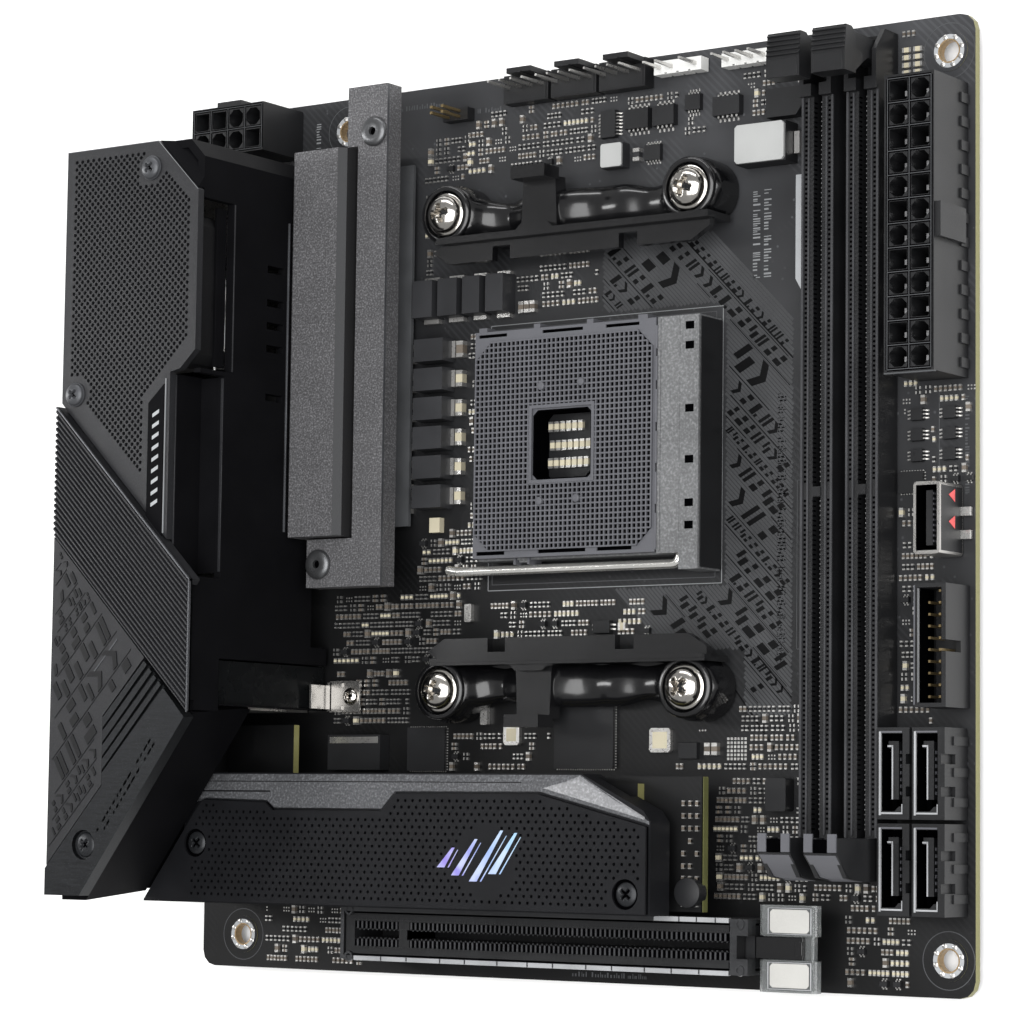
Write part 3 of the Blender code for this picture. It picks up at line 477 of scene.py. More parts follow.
def make_brushed(name, colour, roughness, turn):
    """Brushed metal with streaks along the turned X axis and a few brighter specks."""
    g = Graph(name)
    g.shader.inputs["Metallic"].default_value = 0.75
    streaks = g.noise(0.35, 3.0, g.mapped((0.12, 1.0, 1.0), turn))
    specks = g.noise(0.22, 1.0)
    shade = g.mix(g.ramp(streaks, 0.3, 0.7, 0, 1), scaled(colour, 0.65), scaled(colour, 1.25))
    shade = g.mix(g.ramp(specks, 0.62, 0.75, 0, 0.8), shade, scaled(colour, 2.6))
    g.colour(shade)
    g.rough(g.ramp(streaks, 0.3, 0.7, roughness - 0.08, roughness + 0.08))
    g.bump(streaks, 0.25, 0.05)
    return g.material


def make_clear(name, colour, transmission, roughness, ior=1.46):
    """A clear or smoky plastic."""
    g = Graph(name)
    g.shader.inputs["Transmission Weight"].default_value = transmission
    g.shader.inputs["IOR"].default_value = ior
    slow = g.noise(4.0, 2.0)
    g.colour(g.mix(slow, scaled(colour, 0.8), colour))
    g.rough(g.ramp(slow, 0.3, 0.7, roughness * 0.6, roughness * 1.4))
    g.bump(g.noise(0.8, 2.0), 0.08, 0.05)
    return g.material


def make_lamp(name, colour, strength):
    """A small indicator lamp's lens."""
    g = Graph(name)
    slow = g.noise(6.0, 1.0)
    shade = g.mix(slow, scaled(colour, 0.7), colour)
    g.colour(shade)
    g.link(shade, g.shader.inputs["Emission Color"])
    g.shader.inputs["Emission Strength"].default_value = strength
    g.rough(g.ramp(slow, 0, 1, 0.3, 0.5))
    return g.material


def make_emblem():
    """The lit mark on the drive cover, from violet at its left end to pale blue."""
    g = Graph("emblem_glow")
    gradient = g.node("ShaderNodeSeparateXYZ")
    g.link(g.object_place, gradient.inputs[0])
    across = g.ramp(gradient.outputs["X"], place(75.0, 0, 0)[0], place(90.0, 0, 0)[0], 0, 1)
    shade = g.mix(across, (0.17, 0.13, 0.42), (0.22, 0.38, 0.52))
    shade = g.mix(g.ramp(g.noise(3.0, 1.0), 0.35, 0.65, 0, 0.6), shade, (0.40, 0.45, 0.52))
    g.colour(shade)
    g.link(shade, g.shader.inputs["Emission Color"])
    g.shader.inputs["Emission Strength"].default_value = 0.3
    return g.material


board_mask = make_board_mask()
satin_black = make_finish("moulded_black", (0.0075, 0.0077, 0.0085), 0.42, grain=0.25, strength=0.12)
soft_black = make_finish("fan_black", (0.004, 0.004, 0.0045), 0.5, grain=0.25, strength=0.12, specular=0.2)
# near-black that paints the shade in hollows, gaps, slots and recesses
shade_black = make_finish("painted_shade_black", (0.0008, 0.0008, 0.001), 0.8, grain=0.3, strength=0.05, specular=0.0)
gloss_black = make_finish("bracket_gloss", (0.0035, 0.0035, 0.004), 0.2, grain=0.9, strength=0.04, cloud=14.0,
                          spread=0.04, coat=0.3, specular=0.45)
socket_grey = make_finish("socket_moulding", (0.078, 0.079, 0.088), 0.48, grain=0.22, strength=0.15,
                          mottle=0.12)
socket_pale = make_finish("socket_cam_box", (0.125, 0.127, 0.13), 0.42, grain=0.22, strength=0.3, mottle=0.15,
                          fleck=0.35)
white_plastic = make_finish("header_white_moulding", (0.58, 0.58, 0.565), 0.42, grain=0.3, strength=0.1,
                            mottle=0.06)
latch_pad = make_finish("latch_pad", (0.41, 0.405, 0.385), 0.45, grain=0.3, strength=0.1, mottle=0.08)
cover_paint = make_finish("cover_coating", (0.0175, 0.0178, 0.0198), 0.42, 0.1, grain=0.12, strength=0.3,
                          mottle=0.1, fleck=0.3)
cover_dark = make_finish("cover_coating_dark", (0.0040, 0.0040, 0.0046), 0.5, 0.0, grain=0.12, strength=0.25,
                         mottle=0.2, specular=0.02)
cover_low = make_finish("cover_coating_low", (0.0125, 0.0128, 0.0146), 0.45, 0.1, grain=0.12, strength=0.3,
                        mottle=0.1, fleck=0.3)
cover_ink = make_finish("cover_relief", (0.004, 0.004, 0.0046), 0.5, 0.0, grain=0.12, strength=0.3,
                        specular=0.2)
bar_metal = make_brushed("bar_brushed", (0.0135, 0.0145, 0.016), 0.42, (0, 0, math.radians(-38)))
drive_metal = make_finish("drive_blasted", (0.095, 0.097, 0.103), 0.45, 0.3, grain=0.2, strength=0.5,
                          mottle=0.1, fleck=0.5)
blasted = make_finish("blasted_aluminium", (0.115, 0.114, 0.119), 0.5, 0.3, grain=0.16, strength=0.7,
                      mottle=0.08, fleck=0.55)
# a copy of the blasted finish with painted shade on its faces that look along +x
blasted_block = make_finish("blasted_block", (0.115, 0.114, 0.119), 0.5, 0.3, grain=0.16, strength=0.7,
                            mottle=0.08, fleck=0.55, painted_side_shade=True)
steel = make_finish("steel_sheet", (0.50, 0.50, 0.51), 0.28, 1.0, grain=0.3, strength=0.1, mottle=0.15,
                    stretch=(0.2, 1, 1))
dark_steel = make_finish("slot_steel", (0.06, 0.061, 0.064), 0.35, 0.9, grain=0.3, strength=0.1, mottle=0.2,
                         stretch=(0.2, 1, 1))
port_shell = make_finish("port_tin", (0.40, 0.39, 0.375), 0.3, 0.95, grain=0.3, strength=0.12, mottle=0.12)
chrome = make_finish("nickel_plate", (0.50, 0.48, 0.45), 0.16, 1.0, grain=0.5, strength=0.04, mottle=0.12,
                     spread=0.06)
lever_nickel = make_finish("lever_nickel", (0.86, 0.85, 0.81), 0.2, 0.9, grain=0.4, strength=0.05,
                           mottle=0.08)
dark_screw = make_finish("black_screw", (0.018, 0.019, 0.021), 0.3, 0.4, grain=0.3, strength=0.1, mottle=0.2)
grey_screw = make_finish("grey_screw", (0.10, 0.102, 0.106), 0.32, 0.8, grain=0.3, strength=0.1, mottle=0.2)
solder = make_finish("bright_solder", (0.64, 0.63, 0.61), 0.3, 0.9, grain=0.5, strength=0.3, mottle=0.12,
                     per_part=0.35)
gold = make_finish("gold_contact", (0.24, 0.18, 0.09), 0.35, 0.8, grain=0.3, strength=0.1, mottle=0.15,
                   per_part=0.3)
copper = make_finish("plated_wall", (0.34, 0.24, 0.13), 0.35, 0.7, grain=0.3, strength=0.2, mottle=0.2)
tan_ceramic = make_finish("tan_ceramic", (0.125, 0.105, 0.085), 0.5, grain=0.2, strength=0.2, mottle=0.2,
                          per_part=0.7)
cream_ceramic = make_finish("cream_ceramic", (0.46, 0.42, 0.31), 0.45, grain=0.2, strength=0.1, mottle=0.1,
                            per_part=0.2)
chip_black = make_finish("chip_epoxy", (0.0085, 0.0088, 0.0098), 0.5, grain=0.12, strength=0.3, mottle=0.2,
                         per_part=0.3)
# dark ferrite grey for chokes, also used for a strip of painted shade beside the heatsink bar
ferrite_and_shade_grey = make_finish("ferrite_and_painted_shade_grey", (0.020, 0.0205, 0.0225), 0.5, grain=0.15, strength=0.4, mottle=0.25,
                         per_part=0.3)
slot_rib = make_finish("slot_rib_grey", (0.030, 0.0305, 0.033), 0.4, grain=0.25, strength=0.1)
bead = make_finish("contact_bead", (0.22, 0.22, 0.225), 0.35, 0.3, grain=0.2, strength=0.1, per_part=0.6)
# grey for painted highlights on rims, lips and edges
painted_highlight = make_finish("painted_highlight_grey", (0.30, 0.305, 0.315), 0.4, 0.2, grain=0.2, strength=0.2,
                          mottle=0.2)
pale_top = make_finish("inductor_top", (0.34, 0.345, 0.34), 0.4, 0.2, grain=0.3, strength=0.15, mottle=0.06)
# grey for print, and for rims of painted highlight on the mesh panel
grey_ink_and_highlight = make_finish("grey_ink_and_rim_highlight", (0.16, 0.165, 0.17), 0.6, grain=0.15, strength=0.1, mottle=0.2)
# dim grey for faint print, the thermal pad and the fan's hub label, and thin lines of painted highlight
dim_grey = make_finish("dim_grey_ink_pad_and_highlight", (0.05, 0.052, 0.055), 0.6, grain=0.15, strength=0.1, mottle=0.3)
silk_bright = make_finish("silk_ink_bright", (0.32, 0.33, 0.34), 0.6, grain=0.15, strength=0.1, mottle=0.1)
art_dark = make_finish("art_ink", (0.0012, 0.0012, 0.0015), 0.45, grain=0.15, strength=0.1, specular=0.12)
art_field = make_finish("art_field", (0.034, 0.035, 0.037), 0.5, grain=0.15, strength=0.2, mottle=0.3)
laminate = make_finish("laminate_edge", (0.085, 0.088, 0.030), 0.55, grain=0.4, strength=0.2, mottle=0.3)
red_ink = make_finish("red_ink", (0.62, 0.10, 0.10), 0.5, grain=0.2, strength=0.1)
pink_ring = make_finish("ring_pink", (0.55, 0.20, 0.28), 0.45, grain=0.2, strength=0.1)
blue_ring = make_finish("ring_blue", (0.12, 0.30, 0.55), 0.45, grain=0.2, strength=0.1)
green_ring = make_finish("ring_green", (0.22, 0.50, 0.20), 0.45, grain=0.2, strength=0.1)
clear_plastic = make_clear("clear_latch", (0.42, 0.44, 0.44), 0.75, 0.15)
smoky = make_clear("smoky_film_look", (0.012, 0.013, 0.014), 0.55, 0.3, 1.15)
amber = make_lamp("amber_lamp", (0.85, 0.72, 0.30), 0.3)
emblem = make_emblem()
# pale grey: the cover screws' own colour, fine lines on the lower plate, and lines of painted highlight along
# edges
pale_and_highlight_grey = make_finish("cover_pale_grey_and_highlight", (0.06, 0.062, 0.067), 0.35, 0.4, grain=0.12, strength=0.25,
                         mottle=0.3)
cover_slate = make_finish("drive_cover_slate", (0.0064, 0.0066, 0.0077), 0.45, 0.05, grain=0.12, strength=0.3,
                          mottle=0.2, specular=0.15)
# pale colour of the machined chamfer, partly its bare metal and partly a painted highlight
chamfer_metal_and_highlight = make_finish("drive_chamfer_metal_and_highlight", (0.25, 0.252, 0.26), 0.42, 0.2, grain=0.2, strength=0.3,
                           mottle=0.1, fleck=0.3)

# every CAD node's finish
CAD_FINISHES = (
    (satin_black, "board_power_header processor_power_header memory_slot_a memory_slot_b memory_latch_a "
                  "memory_latch_b expansion_slot shrouded_header audio_jacks push_button_housing "
                  "drive_port_1 drive_port_2 drive_port_3 drive_port_4 fan_header_1 fan_header_2 "
                  "fan_header_3"),
    (port_shell, "front_panel_port video_ports usb_stack usb_c_stack network_stack wireless_module"),
    (white_plastic, "light_header_1 light_header_2 push_button"),
    (board_mask, "pcb drive_board"),
    (soft_black, "fan_frame fan_rotor"),
    (gloss_black, "cooler_bracket_upper cooler_bracket_lower"),
    (cover_paint, "cover_mesh_panel cover_ribbed_band"),
    (cover_dark, "cover_side_wall rear_plate drive_heatsink_cover"),
    (cover_low, "cover_lower_plate"),
    (cover_slate, "drive_heatsink"),
    (bar_metal, "cover_bar"),
    (blasted_block, "power_heatsink_block"),
    (blasted, "power_heatsink_bar"),
    (socket_pale, "socket_base"),
    (socket_grey, "socket_cover"),
    (lever_nickel, "socket_lever"),
    (steel, "backplate"),
    (dark_steel, "expansion_slot_shield"),
    (clear_plastic, "expansion_slot_latch"),
    (smoky, "wireless_film"),
    (chrome, "cooler_screw_1 cooler_screw_2 cooler_screw_3 cooler_screw_4"),
    (dark_screw, "cover_screw_1 cover_screw_2 cover_screw_3 drive_screw_1 drive_screw_2"),
    (grey_screw, "heatsink_screw_1 heatsink_screw_2"),
)
for finish, titles in CAD_FINISHES:
    for title in titles.split():
        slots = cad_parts[title].data.materials
        slots.clear()
        slots.append(finish)

# width of the bevel on the sharp edges of CAD nodes that stay visible
SOFT_EDGES = {
    "board_power_header": 0.15, "processor_power_header": 0.15, "expansion_slot": 0.12,
    "power_heatsink_block": 0.12, "power_heatsink_bar": 0.15, "cover_bar": 0.15, "drive_heatsink": 0.2,
    "socket_base": 0.12, "cover_side_wall": 0.15, "shrouded_header": 0.12, "drive_heatsink_cover": 0.1,
    "light_header_1": 0.12, "light_header_2": 0.12, "audio_jacks": 0.2, "push_button_housing": 0.2,
}
for title, width in SOFT_EDGES.items():
    round_edges(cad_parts[title], width)


# ---------------------------------------------------------------- board surface
MOUNT_HOLES = ((10.16, 6.35), (165.1, 6.35), (165.1, 163.83), (33.02, 163.83))
HOLE_R = 1.98
LAND_R = 3.05
SOCKET_X = 89.75
SOCKET_Y = 98.21
PIN_PITCH = 2.54                 # of pin headers
BOARD_FACE = -1.6                # the board's lower face
FLAT = 0.035                     # height of printed ink and bare lands
FLAT_TOP = FLAT * 1.6            # height of ink that lies on other ink


def make_mount_lands():
    """Plated holes: a copper-coloured wall and a ring of solder segments, above and below."""
    shape = Shape()
    top = PAD_RISE
    bottom = BOARD_FACE - PAD_RISE
    wall = HOLE_R - 0.03
    for x, y in MOUNT_HOLES:
        shape.lathe([(wall - 0.06, bottom - 0.03), (wall - 0.06, top + 0.03), (wall + 0.2, top + 0.04),
                     (wall + 0.2, bottom - 0.04), (wall - 0.06, bottom - 0.03)], x, y, 1, 36)
        for height in (top, bottom - 0.03):
            shape.lathe([(wall + 0.2, height), (wall + 0.2, height + 0.03), (LAND_R - 0.1, height + 0.03),
                         (LAND_R - 0.1, height), (wall + 0.2, height)], x, y, 2, 36)
        for k in range(8):
            angle = math.pi / 4 * k + 0.3
            reach = (HOLE_R + LAND_R) / 2 + 0.05
            cx = x + reach * math.cos(angle)
            cy = y + reach * math.sin(angle)
            for base, up in ((top, 1), (bottom, -1)):
                blob = [(0.5, base), (0.46, base + 0.1 * up), (0.3, base + 0.17 * up), (0, base + 0.2 * up)]
                shape.lathe(blob, cx, cy, 0, 12)
    build(shape, "mount_lands", [solder, copper, silk_bright])


def stroke(shape, ax, ay, bx, by, width, finish=0, high=FLAT, low=0):
    """A straight raised line between two points, on the board's face if low isn't given."""
    length = math.hypot(bx - ax, by - ay)
    sx = -(by - ay) / length * width / 2
    sy = (bx - ax) / length * width / 2
    shape.prism([(ax + sx, ay + sy), (ax - sx, ay - sy), (bx - sx, by - sy), (bx + sx, by + sy)], low, high,
                finish=finish)


def ring(shape, x, y, radius, width, finish):
    """A printed ring."""
    inner = radius - width / 2
    outer = radius + width / 2
    shape.lathe([(inner, 0), (inner, FLAT), (outer, FLAT), (outer, 0), (inner, 0)], x, y, finish, 48)


def frame_line(shape, x0, x1, y0, y1, width, finish=0):
    """A printed rectangle."""
    for ax, ay, bx, by in ((x0, y0, x1, y0), (x1, y0, x1, y1), (x1, y1, x0, y1), (x0, y1, x0, y0)):
        stroke(shape, ax, ay, bx, by, width, finish)


def make_ink():
    """Printed lines and fields. No lettering: rows of small dashes stand where labels would be."""
    shape = Shape()
    for x, y in MOUNT_HOLES:
        ring(shape, x, y, 4.95, 0.14, 1)
    frame_line(shape, 68.0, 119.4, 72.2, 122.5, 0.16)
    frame_line(shape, 68.9, 118.0, 73.3, 121.6, 0.12, 1)
    shape.prism([(135.9, 145.0), (135.9, 123.6), (134.4, 126.2), (134.4, 145.0)], 0, FLAT, finish=2)
    dice = random.Random(4)
    for x, low, high, tall, finish in ((126.3, 127.0, 143.0, 1.5, 0), (128.6, 127.0, 143.0, 1.5, 0),
                                       (131.8, 58.0, 106.0, 1.7, 1), (137.0, 28.0, 52.0, 0.9, 1),
                                       (136.6, 62.0, 70.0, 0.9, 1)):
        dashes(shape, dice, x, low, high, tall, finish)
    for ax, ay, bx, by in ((135.0, 60.0, 135.0, 90.0), (135.0, 90.0, 137.5, 90.0), (135.0, 60.0, 137.5, 60.0),
                           (163.2, 88.0, 163.2, 104.0), (163.2, 88.0, 166.5, 88.0)):
        stroke(shape, ax, ay, bx, by, 0.12, 1)
    for x0, x1, y in ((88.0, 104.0, 1.4), (60.0, 70.0, 164.4), (46.0, 56.0, 166.8)):
        dashes(shape, dice, y, x0, x1, 0.9, 1, across=True)
    dashes(shape, dice, 168.6, 86.0, 103.0, 0.8, 1)
    dashes(shape, dice, 25.5, 158.5, 166.0, 1.1, 0)
    for y in (150.0, 138.0, 126.0, 74.0, 62.0, 52.0):
        shape.box(154.2, 154.7, y, y + 0.9, 0, FLAT, 2)
    build(shape, "board_ink", [grey_ink_and_highlight, dim_grey, silk_bright], fix=False)


def dashes(shape, dice, middle, low, high, tall, finish, across=False):
    """A column of short ticks that stands in for a label, or a row of them if across."""
    spot = low
    while spot < high:
        run = dice.uniform(0.25, 0.75)
        if dice.random() < 0.82:
            ends = (middle - tall / 2, middle + tall / 2 * dice.choice((0.2, 1.0)))
            along = (spot, spot + run * 0.45)
            shape.box(*(along + ends if across else ends + along), 0, FLAT, finish)
        spot += run


ART_TURN = math.radians(-45.5)   # direction in which the printed bands run


def art_point(origin, along, across):
    """A place in the printed bands, which run at a slant."""
    c = math.cos(ART_TURN)
    s = math.sin(ART_TURN)
    return (origin[0] + along * c - across * s, origin[1] + along * s + across * c)


def art_bar(shape, origin, a0, a1, b0, b1, finish, skew=0.0):
    """A printed bar along the bands; skew shifts its far side."""
    corners = [art_point(origin, a0, b0), art_point(origin, a1, b0), art_point(origin, a1 + skew, b1),
               art_point(origin, a0 + skew, b1)]
    shape.prism(corners, 0, FLAT_TOP if finish else FLAT, finish=finish)


def make_art():
    """Printed bands of abstract bars and chevrons between the socket and the memory slots."""
    shape = Shape()
    dice = random.Random(12)

    def allowed(x, y):
        """True where the bands show: beyond the socket and clear of brackets and memory slots."""
        hidden = 67.5 < x < 119.8 and 71.8 < y < 122.9
        bracket = x < 124.0 and (y > 136.5 or y < 60.0)
        low_side = y < 71.0 and x + y < 168.0
        return x < 134.0 and not hidden and not bracket and not low_side and x + y < 253.0 and x > 93.0

    start = (86.0, 139.0)
    # hatched grey field made of fine lines
    for k in range(-150, 40):
        across = k * 0.62
        a = 0.0
        open_from = None
        while a < 150.0:
            x, y = art_point(start, a, across)
            if allowed(x, y) and y > 48.0:
                if open_from is None:
                    open_from = a
            elif open_from is not None:
                if a - open_from > 1.5:
                    art_bar(shape, start, open_from, a - 0.5, across, across + 0.48, 0)
                open_from = None
            a += 0.5
    # bands of dark marks
    across = 17.0
    for tall in (1.6, 2.4, 5.0, 2.5, 2.3, 1.5, 2.8, 3.8, 1.6, 2.7, 2.3, 3.4, 1.7, 2.5, 4.0, 5.2, 2.4, 3.0,
                 2.0, 2.6):
        across -= tall
        a = dice.uniform(0.0, 1.5)
        while a < 130.0:
            wide = tall * dice.uniform(0.62, 0.95)
            corners = [art_point(start, a + da, across + db) for da in (0, wide + 0.2 * tall)
                       for db in (0, tall)]
            if all(allowed(x, y) and y > 50.0 for x, y in corners):
                art_mark(shape, dice, start, a, across, wide, tall)
            a += wide + tall * dice.uniform(0.22, 0.4)
        across -= 0.55
        for a in range(0, 120, 2):
            ends = (art_point(start, a, across), art_point(start, a + 2, across))
            if (a // 14 + int(across)) % 3 and all(allowed(x, y) and y > 50.0 for x, y in ends):
                art_bar(shape, start, a, a + 2, across - 0.08, across + 0.08, 1)
        across -= 0.45
    for bx, by, ex, ey in ((117.0, 60.0, 130.5, 42.5), (127.0, 59.0, 134.0, 51.5),
                           (108.0, 138.5, 134.0, 112.0)):
        stroke(shape, bx, by, ex, ey, 0.28, 1, FLAT_TOP)
    build(shape, "printed_bands", [art_field, art_dark], fix=False)


def art_mark(shape, dice, start, a, b, wide, tall):
    """One abstract mark: slanted bars, a chevron, steps, or blocks with a gap."""
    kind = dice.randrange(6)
    thick = tall * 0.26
    skew = tall * 0.3
    if kind == 0:
        art_bar(shape, start, a, a + thick, b, b + tall, 1, skew)
        art_bar(shape, start, a + wide * 0.5, a + wide * 0.5 + thick, b, b + tall, 1, skew)
    elif kind == 1:
        art_bar(shape, start, a, a + thick * 1.3, b, b + tall * 0.5, 1, wide * 0.5)
        art_bar(shape, start, a + wide * 0.5, a + wide * 0.5 + thick * 1.3, b + tall * 0.5, b + tall, 1,
                -wide * 0.5)
    elif kind == 2:
        art_bar(shape, start, a, a + thick * 1.7, b, b + tall, 1, skew)
        art_bar(shape, start, a + wide * 0.7, a + wide, b, b + thick, 1, thick * 0.3)
    elif kind == 3:
        for step in (0.0, 0.6):
            low = b + tall * step
            art_bar(shape, start, a + wide * step * 0.6, a + wide * (0.6 + step * 0.6), low,
                    low + tall * 0.36, 1, skew * 0.3)
    elif kind == 4:
        art_bar(shape, start, a, a + wide * 0.8, b, b + tall * 0.42, 1, skew * 0.4)
        art_bar(shape, start, a + wide * 0.45, a + wide, b + tall * 0.58, b + tall, 1, skew * 0.4)
    else:
        art_bar(shape, start, a + wide * 0.1, a + wide * 0.45, b + tall * 0.3, b + tall, 1, skew * 0.7)
        art_bar(shape, start, a + wide * 0.55, a + wide, b, b + tall * 0.7, 1, skew * 0.7)


# ---------------------------------------------------------------- small parts
FINISHES_SMALL = [tan_ceramic, solder, chip_black, cream_ceramic, ferrite_and_shade_grey, gold, pale_top, satin_black]
TAN, TIN, CHIP, CREAM, CHOKE, GOLD, WHITE, BLACK = range(8)


def two_pole(shape, x, y, long, wide, high, along_y, body=TAN, share=0.27, seat=0.0):
    """A chip capacitor or resistor with a bright end at each side."""
    parts = ((-long / 2, -long / 2 + long * share, TIN, high), (long / 2 - long * share, long / 2, TIN, high),
             (-long / 2 + long * share, long / 2 - long * share, body, high * 0.96))
    middle, centre = (y, x) if along_y else (x, y)
    for low, top, finish, tall in parts:
        shape.laid(along_y, middle + low, middle + top, centre - wide / 2, centre + wide / 2,
                   seat, seat + tall, finish)


def leaded_chip(shape, x0, x1, y0, y1, high, pitch, sides="NS", reach=1.0):
    """A chip with gull-wing leads along the sides named by compass letters."""
    shape.prism(rectangle(x0, x1, y0, y1), 0.12, high, finish=CHIP,
                top=rectangle(x0 + 0.08, x1 - 0.08, y0 + 0.08, y1 - 0.08))
    wide = pitch * 0.4
    shape.cylinder(x0 + 0.8, y1 - 0.8, 0.25, high, high + 0.01, "Z", BLACK, 10)
    for side in sides:
        low, top = (x0, x1) if side in "NS" else (y0, y1)
        count = max(1, int((top - low - 0.2) / pitch))
        first = (low + top) / 2 - (count - 1) * pitch / 2
        for i in range(count):
            c = first + i * pitch
            edge = {"N": y1, "S": y0, "E": x1, "W": x0}[side]
            out = 1 if side in "NE" else -1
            # shoulder, foot and the upright between them
            for near, far, low_z, high_z in ((-0.05, reach * 0.45, high * 0.45, high * 0.6),
                                             (reach * 0.35, reach, 0.0, 0.14),
                                             (reach * 0.33, reach * 0.47, 0.0, high * 0.6)):
                a0, a1 = sorted((edge + near * out, edge + far * out))
                shape.laid(side in "NS", a0, a1, c - wide / 2, c + wide / 2, low_z, high_z, TIN)


def flat_chip(shape, x0, x1, y0, y1, high, pitch=0.5):
    """A leadless chip with a fringe of bright pads round its foot."""
    shape.box(x0, x1, y0, y1, 0.05, high, CHIP)
    for along_y, a0, a1, b0, b1 in ((True, x0, x1, y0, y1), (False, y0, y1, x0, x1)):
        count = int((a1 - a0) / pitch)
        for i in range(count):
            c = a0 + (i + 0.5) * (a1 - a0) / count
            for low in (b0 - 0.22, b1 - 0.02):
                shape.laid(along_y, low, low + 0.24, c - 0.11, c + 0.11, 0, 0.12, TIN)
    shape.cylinder(x0 + 0.6, y1 - 0.6, 0.2, high, high + 0.01, "Z", BLACK, 10)


def choke(shape, x0, x1, y0, y1, high, along_y):
    """A square ferrite choke with a silver terminal at each end."""
    shape.prism(rectangle(x0, x1, y0, y1), 0.1, high, finish=CHOKE,
                top=rectangle(x0 + 0.15, x1 - 0.15, y0 + 0.15, y1 - 0.15))
    a0, a1, b0, b1 = (y0, y1, x0, x1) if along_y else (x0, x1, y0, y1)
    for low in (a0 - 0.75, a1 - 0.05):
        shape.laid(along_y, low, low + 0.8, b0 + 0.9, b1 - 0.5, 0, 1.1, TIN)


TAKEN = []                       # board areas already used, as x0, x1, y0, y1


def take(x0, x1, y0, y1):
    """Keeps scattered small parts off an area."""
    TAKEN.append((x0, x1, y0, y1))


def is_free(x0, x1, y0, y1, room=0.25):
    return not any(x0 < a1 + room and x1 > a0 - room and y0 < b1 + room and y1 > b0 - room
                   for a0, a1, b0, b1 in TAKEN)


def scatter(shape, dice, x0, x1, y0, y1, fill=0.8, row=1.75, cream=0.12):
    """Rows of small two-pole parts, lands and tiny chips, as on a crowded board.

    fill is the share of places that hold something, and cream sets how often a row is cream."""
    y = y0 + 0.8
    while y < y1:
        x = x0 + dice.uniform(0, 1.0)
        while x < x1:
            if dice.random() > fill:
                x += dice.uniform(0.8, 3.2)
                continue
            kind = dice.random()
            if kind < 0.52:
                count = dice.randrange(2, 7)
                pitch = dice.choice((0.85, 0.95, 1.05))
                body = dice.choice((TAN, TAN, CHIP, CHIP, CREAM if dice.random() < cream * 4 else TAN))
                for _ in range(count):
                    if x < x1 and is_free(x - 0.3, x + 0.3, y - 0.55, y + 0.55):
                        two_pole(shape, x, y, 1.05, 0.52, 0.38, True, body)
                    x += pitch
            elif kind < 0.74:
                body = dice.choice((TAN, CHIP, CHIP))
                if is_free(x - 0.1, x + 1.0, y - 0.5, y + 0.5):
                    two_pole(shape, x + 0.5, y + 0.42, 1.05, 0.5, 0.38, False, body)
                    two_pole(shape, x + 0.5, y - 0.42, 1.05, 0.5, 0.38, False, body)
                x += 1.6
            elif kind < 0.86:
                body = dice.choice((TAN, TAN, CREAM))
                if is_free(x, x + 0.9, y - 0.8, y + 0.8):
                    two_pole(shape, x + 0.45, y, 1.6, 0.82, 0.75, True, body)
                x += 1.35
            elif kind < 0.93:
                if is_free(x, x + 1.8, y - 0.9, y + 0.9, 0.1):
                    leaded_chip(shape, x + 0.1, x + 1.7, y - 0.5, y + 0.5, 0.8, 0.6, "NS", 0.45)
                x += 2.3
            else:
                for i in range(3):
                    for j in range(2):
                        left = x + i * 0.6
                        if is_free(left, left + 0.3, y + j * 0.6 - 0.5, y + j * 0.6 - 0.2):
                            shape.box(left, left + 0.28, y + j * 0.6 - 0.5, y + j * 0.6 - 0.22, 0, 0.04, TIN)
                x += 2.2
            x += 0.35
        y += row


def land_grid(shape, x0, y0, columns, rows, pitch, size):
    """A grid of bare square lands."""
    for i in range(columns):
        for j in range(rows):
            x = x0 + i * pitch
            y = y0 + j * pitch
            shape.box(x, x + size, y, y + size, 0, 0.05, TIN)
    take(x0, x0 + columns * pitch, y0, y0 + rows * pitch)


def make_power_stage_parts():
    """The chokes beside the heatsinks, and the capacitors at their ends."""
    shape = Shape()
    for x0, x1 in ((52.0, 56.9), (57.9, 62.7), (63.7, 68.0), (69.1, 73.4)):
        choke(shape, x0, x1, 124.6, 132.0, 4.0, True)
        take(x0, x1, 123.6, 133.0)
    for i in range(6):
        y = 116.1 - 5.62 * i
        choke(shape, 52.5, 59.6, y, y + 4.6, 4.0, False)
        take(51.5, 60.4, y, y + 4.6)
        two_pole(shape, 61.6, y + 2.4, 3.1, 1.5, 1.5, True, CREAM if i else TAN, 0.24)
        take(60.6, 62.6, y + 0.6, y + 4.2)
        for dy in (0.2, 2.6):
            two_pole(shape, 49.6, y + dy + 0.8, 2.0, 1.25, 1.2, False, TAN, 0.26)
    for i in range(5):
        two_pole(shape, 49.4, 88.0 + i * 1.6, 1.6, 0.8, 0.8, False, TAN)
    shape.box(55.2, 57.6, 83.6, 86.4, 0.1, 1.6, CREAM)
    take(55, 58, 83, 87)
    for x in (75.4, 76.7, 78.0):
        two_pole(shape, x, 125.5, 2.2, 1.1, 1.1, True, TAN, 0.3)
    take(74.6, 78.8, 124.2, 126.8)
    build(shape, "power_stage_parts", FINISHES_SMALL, fix=False)


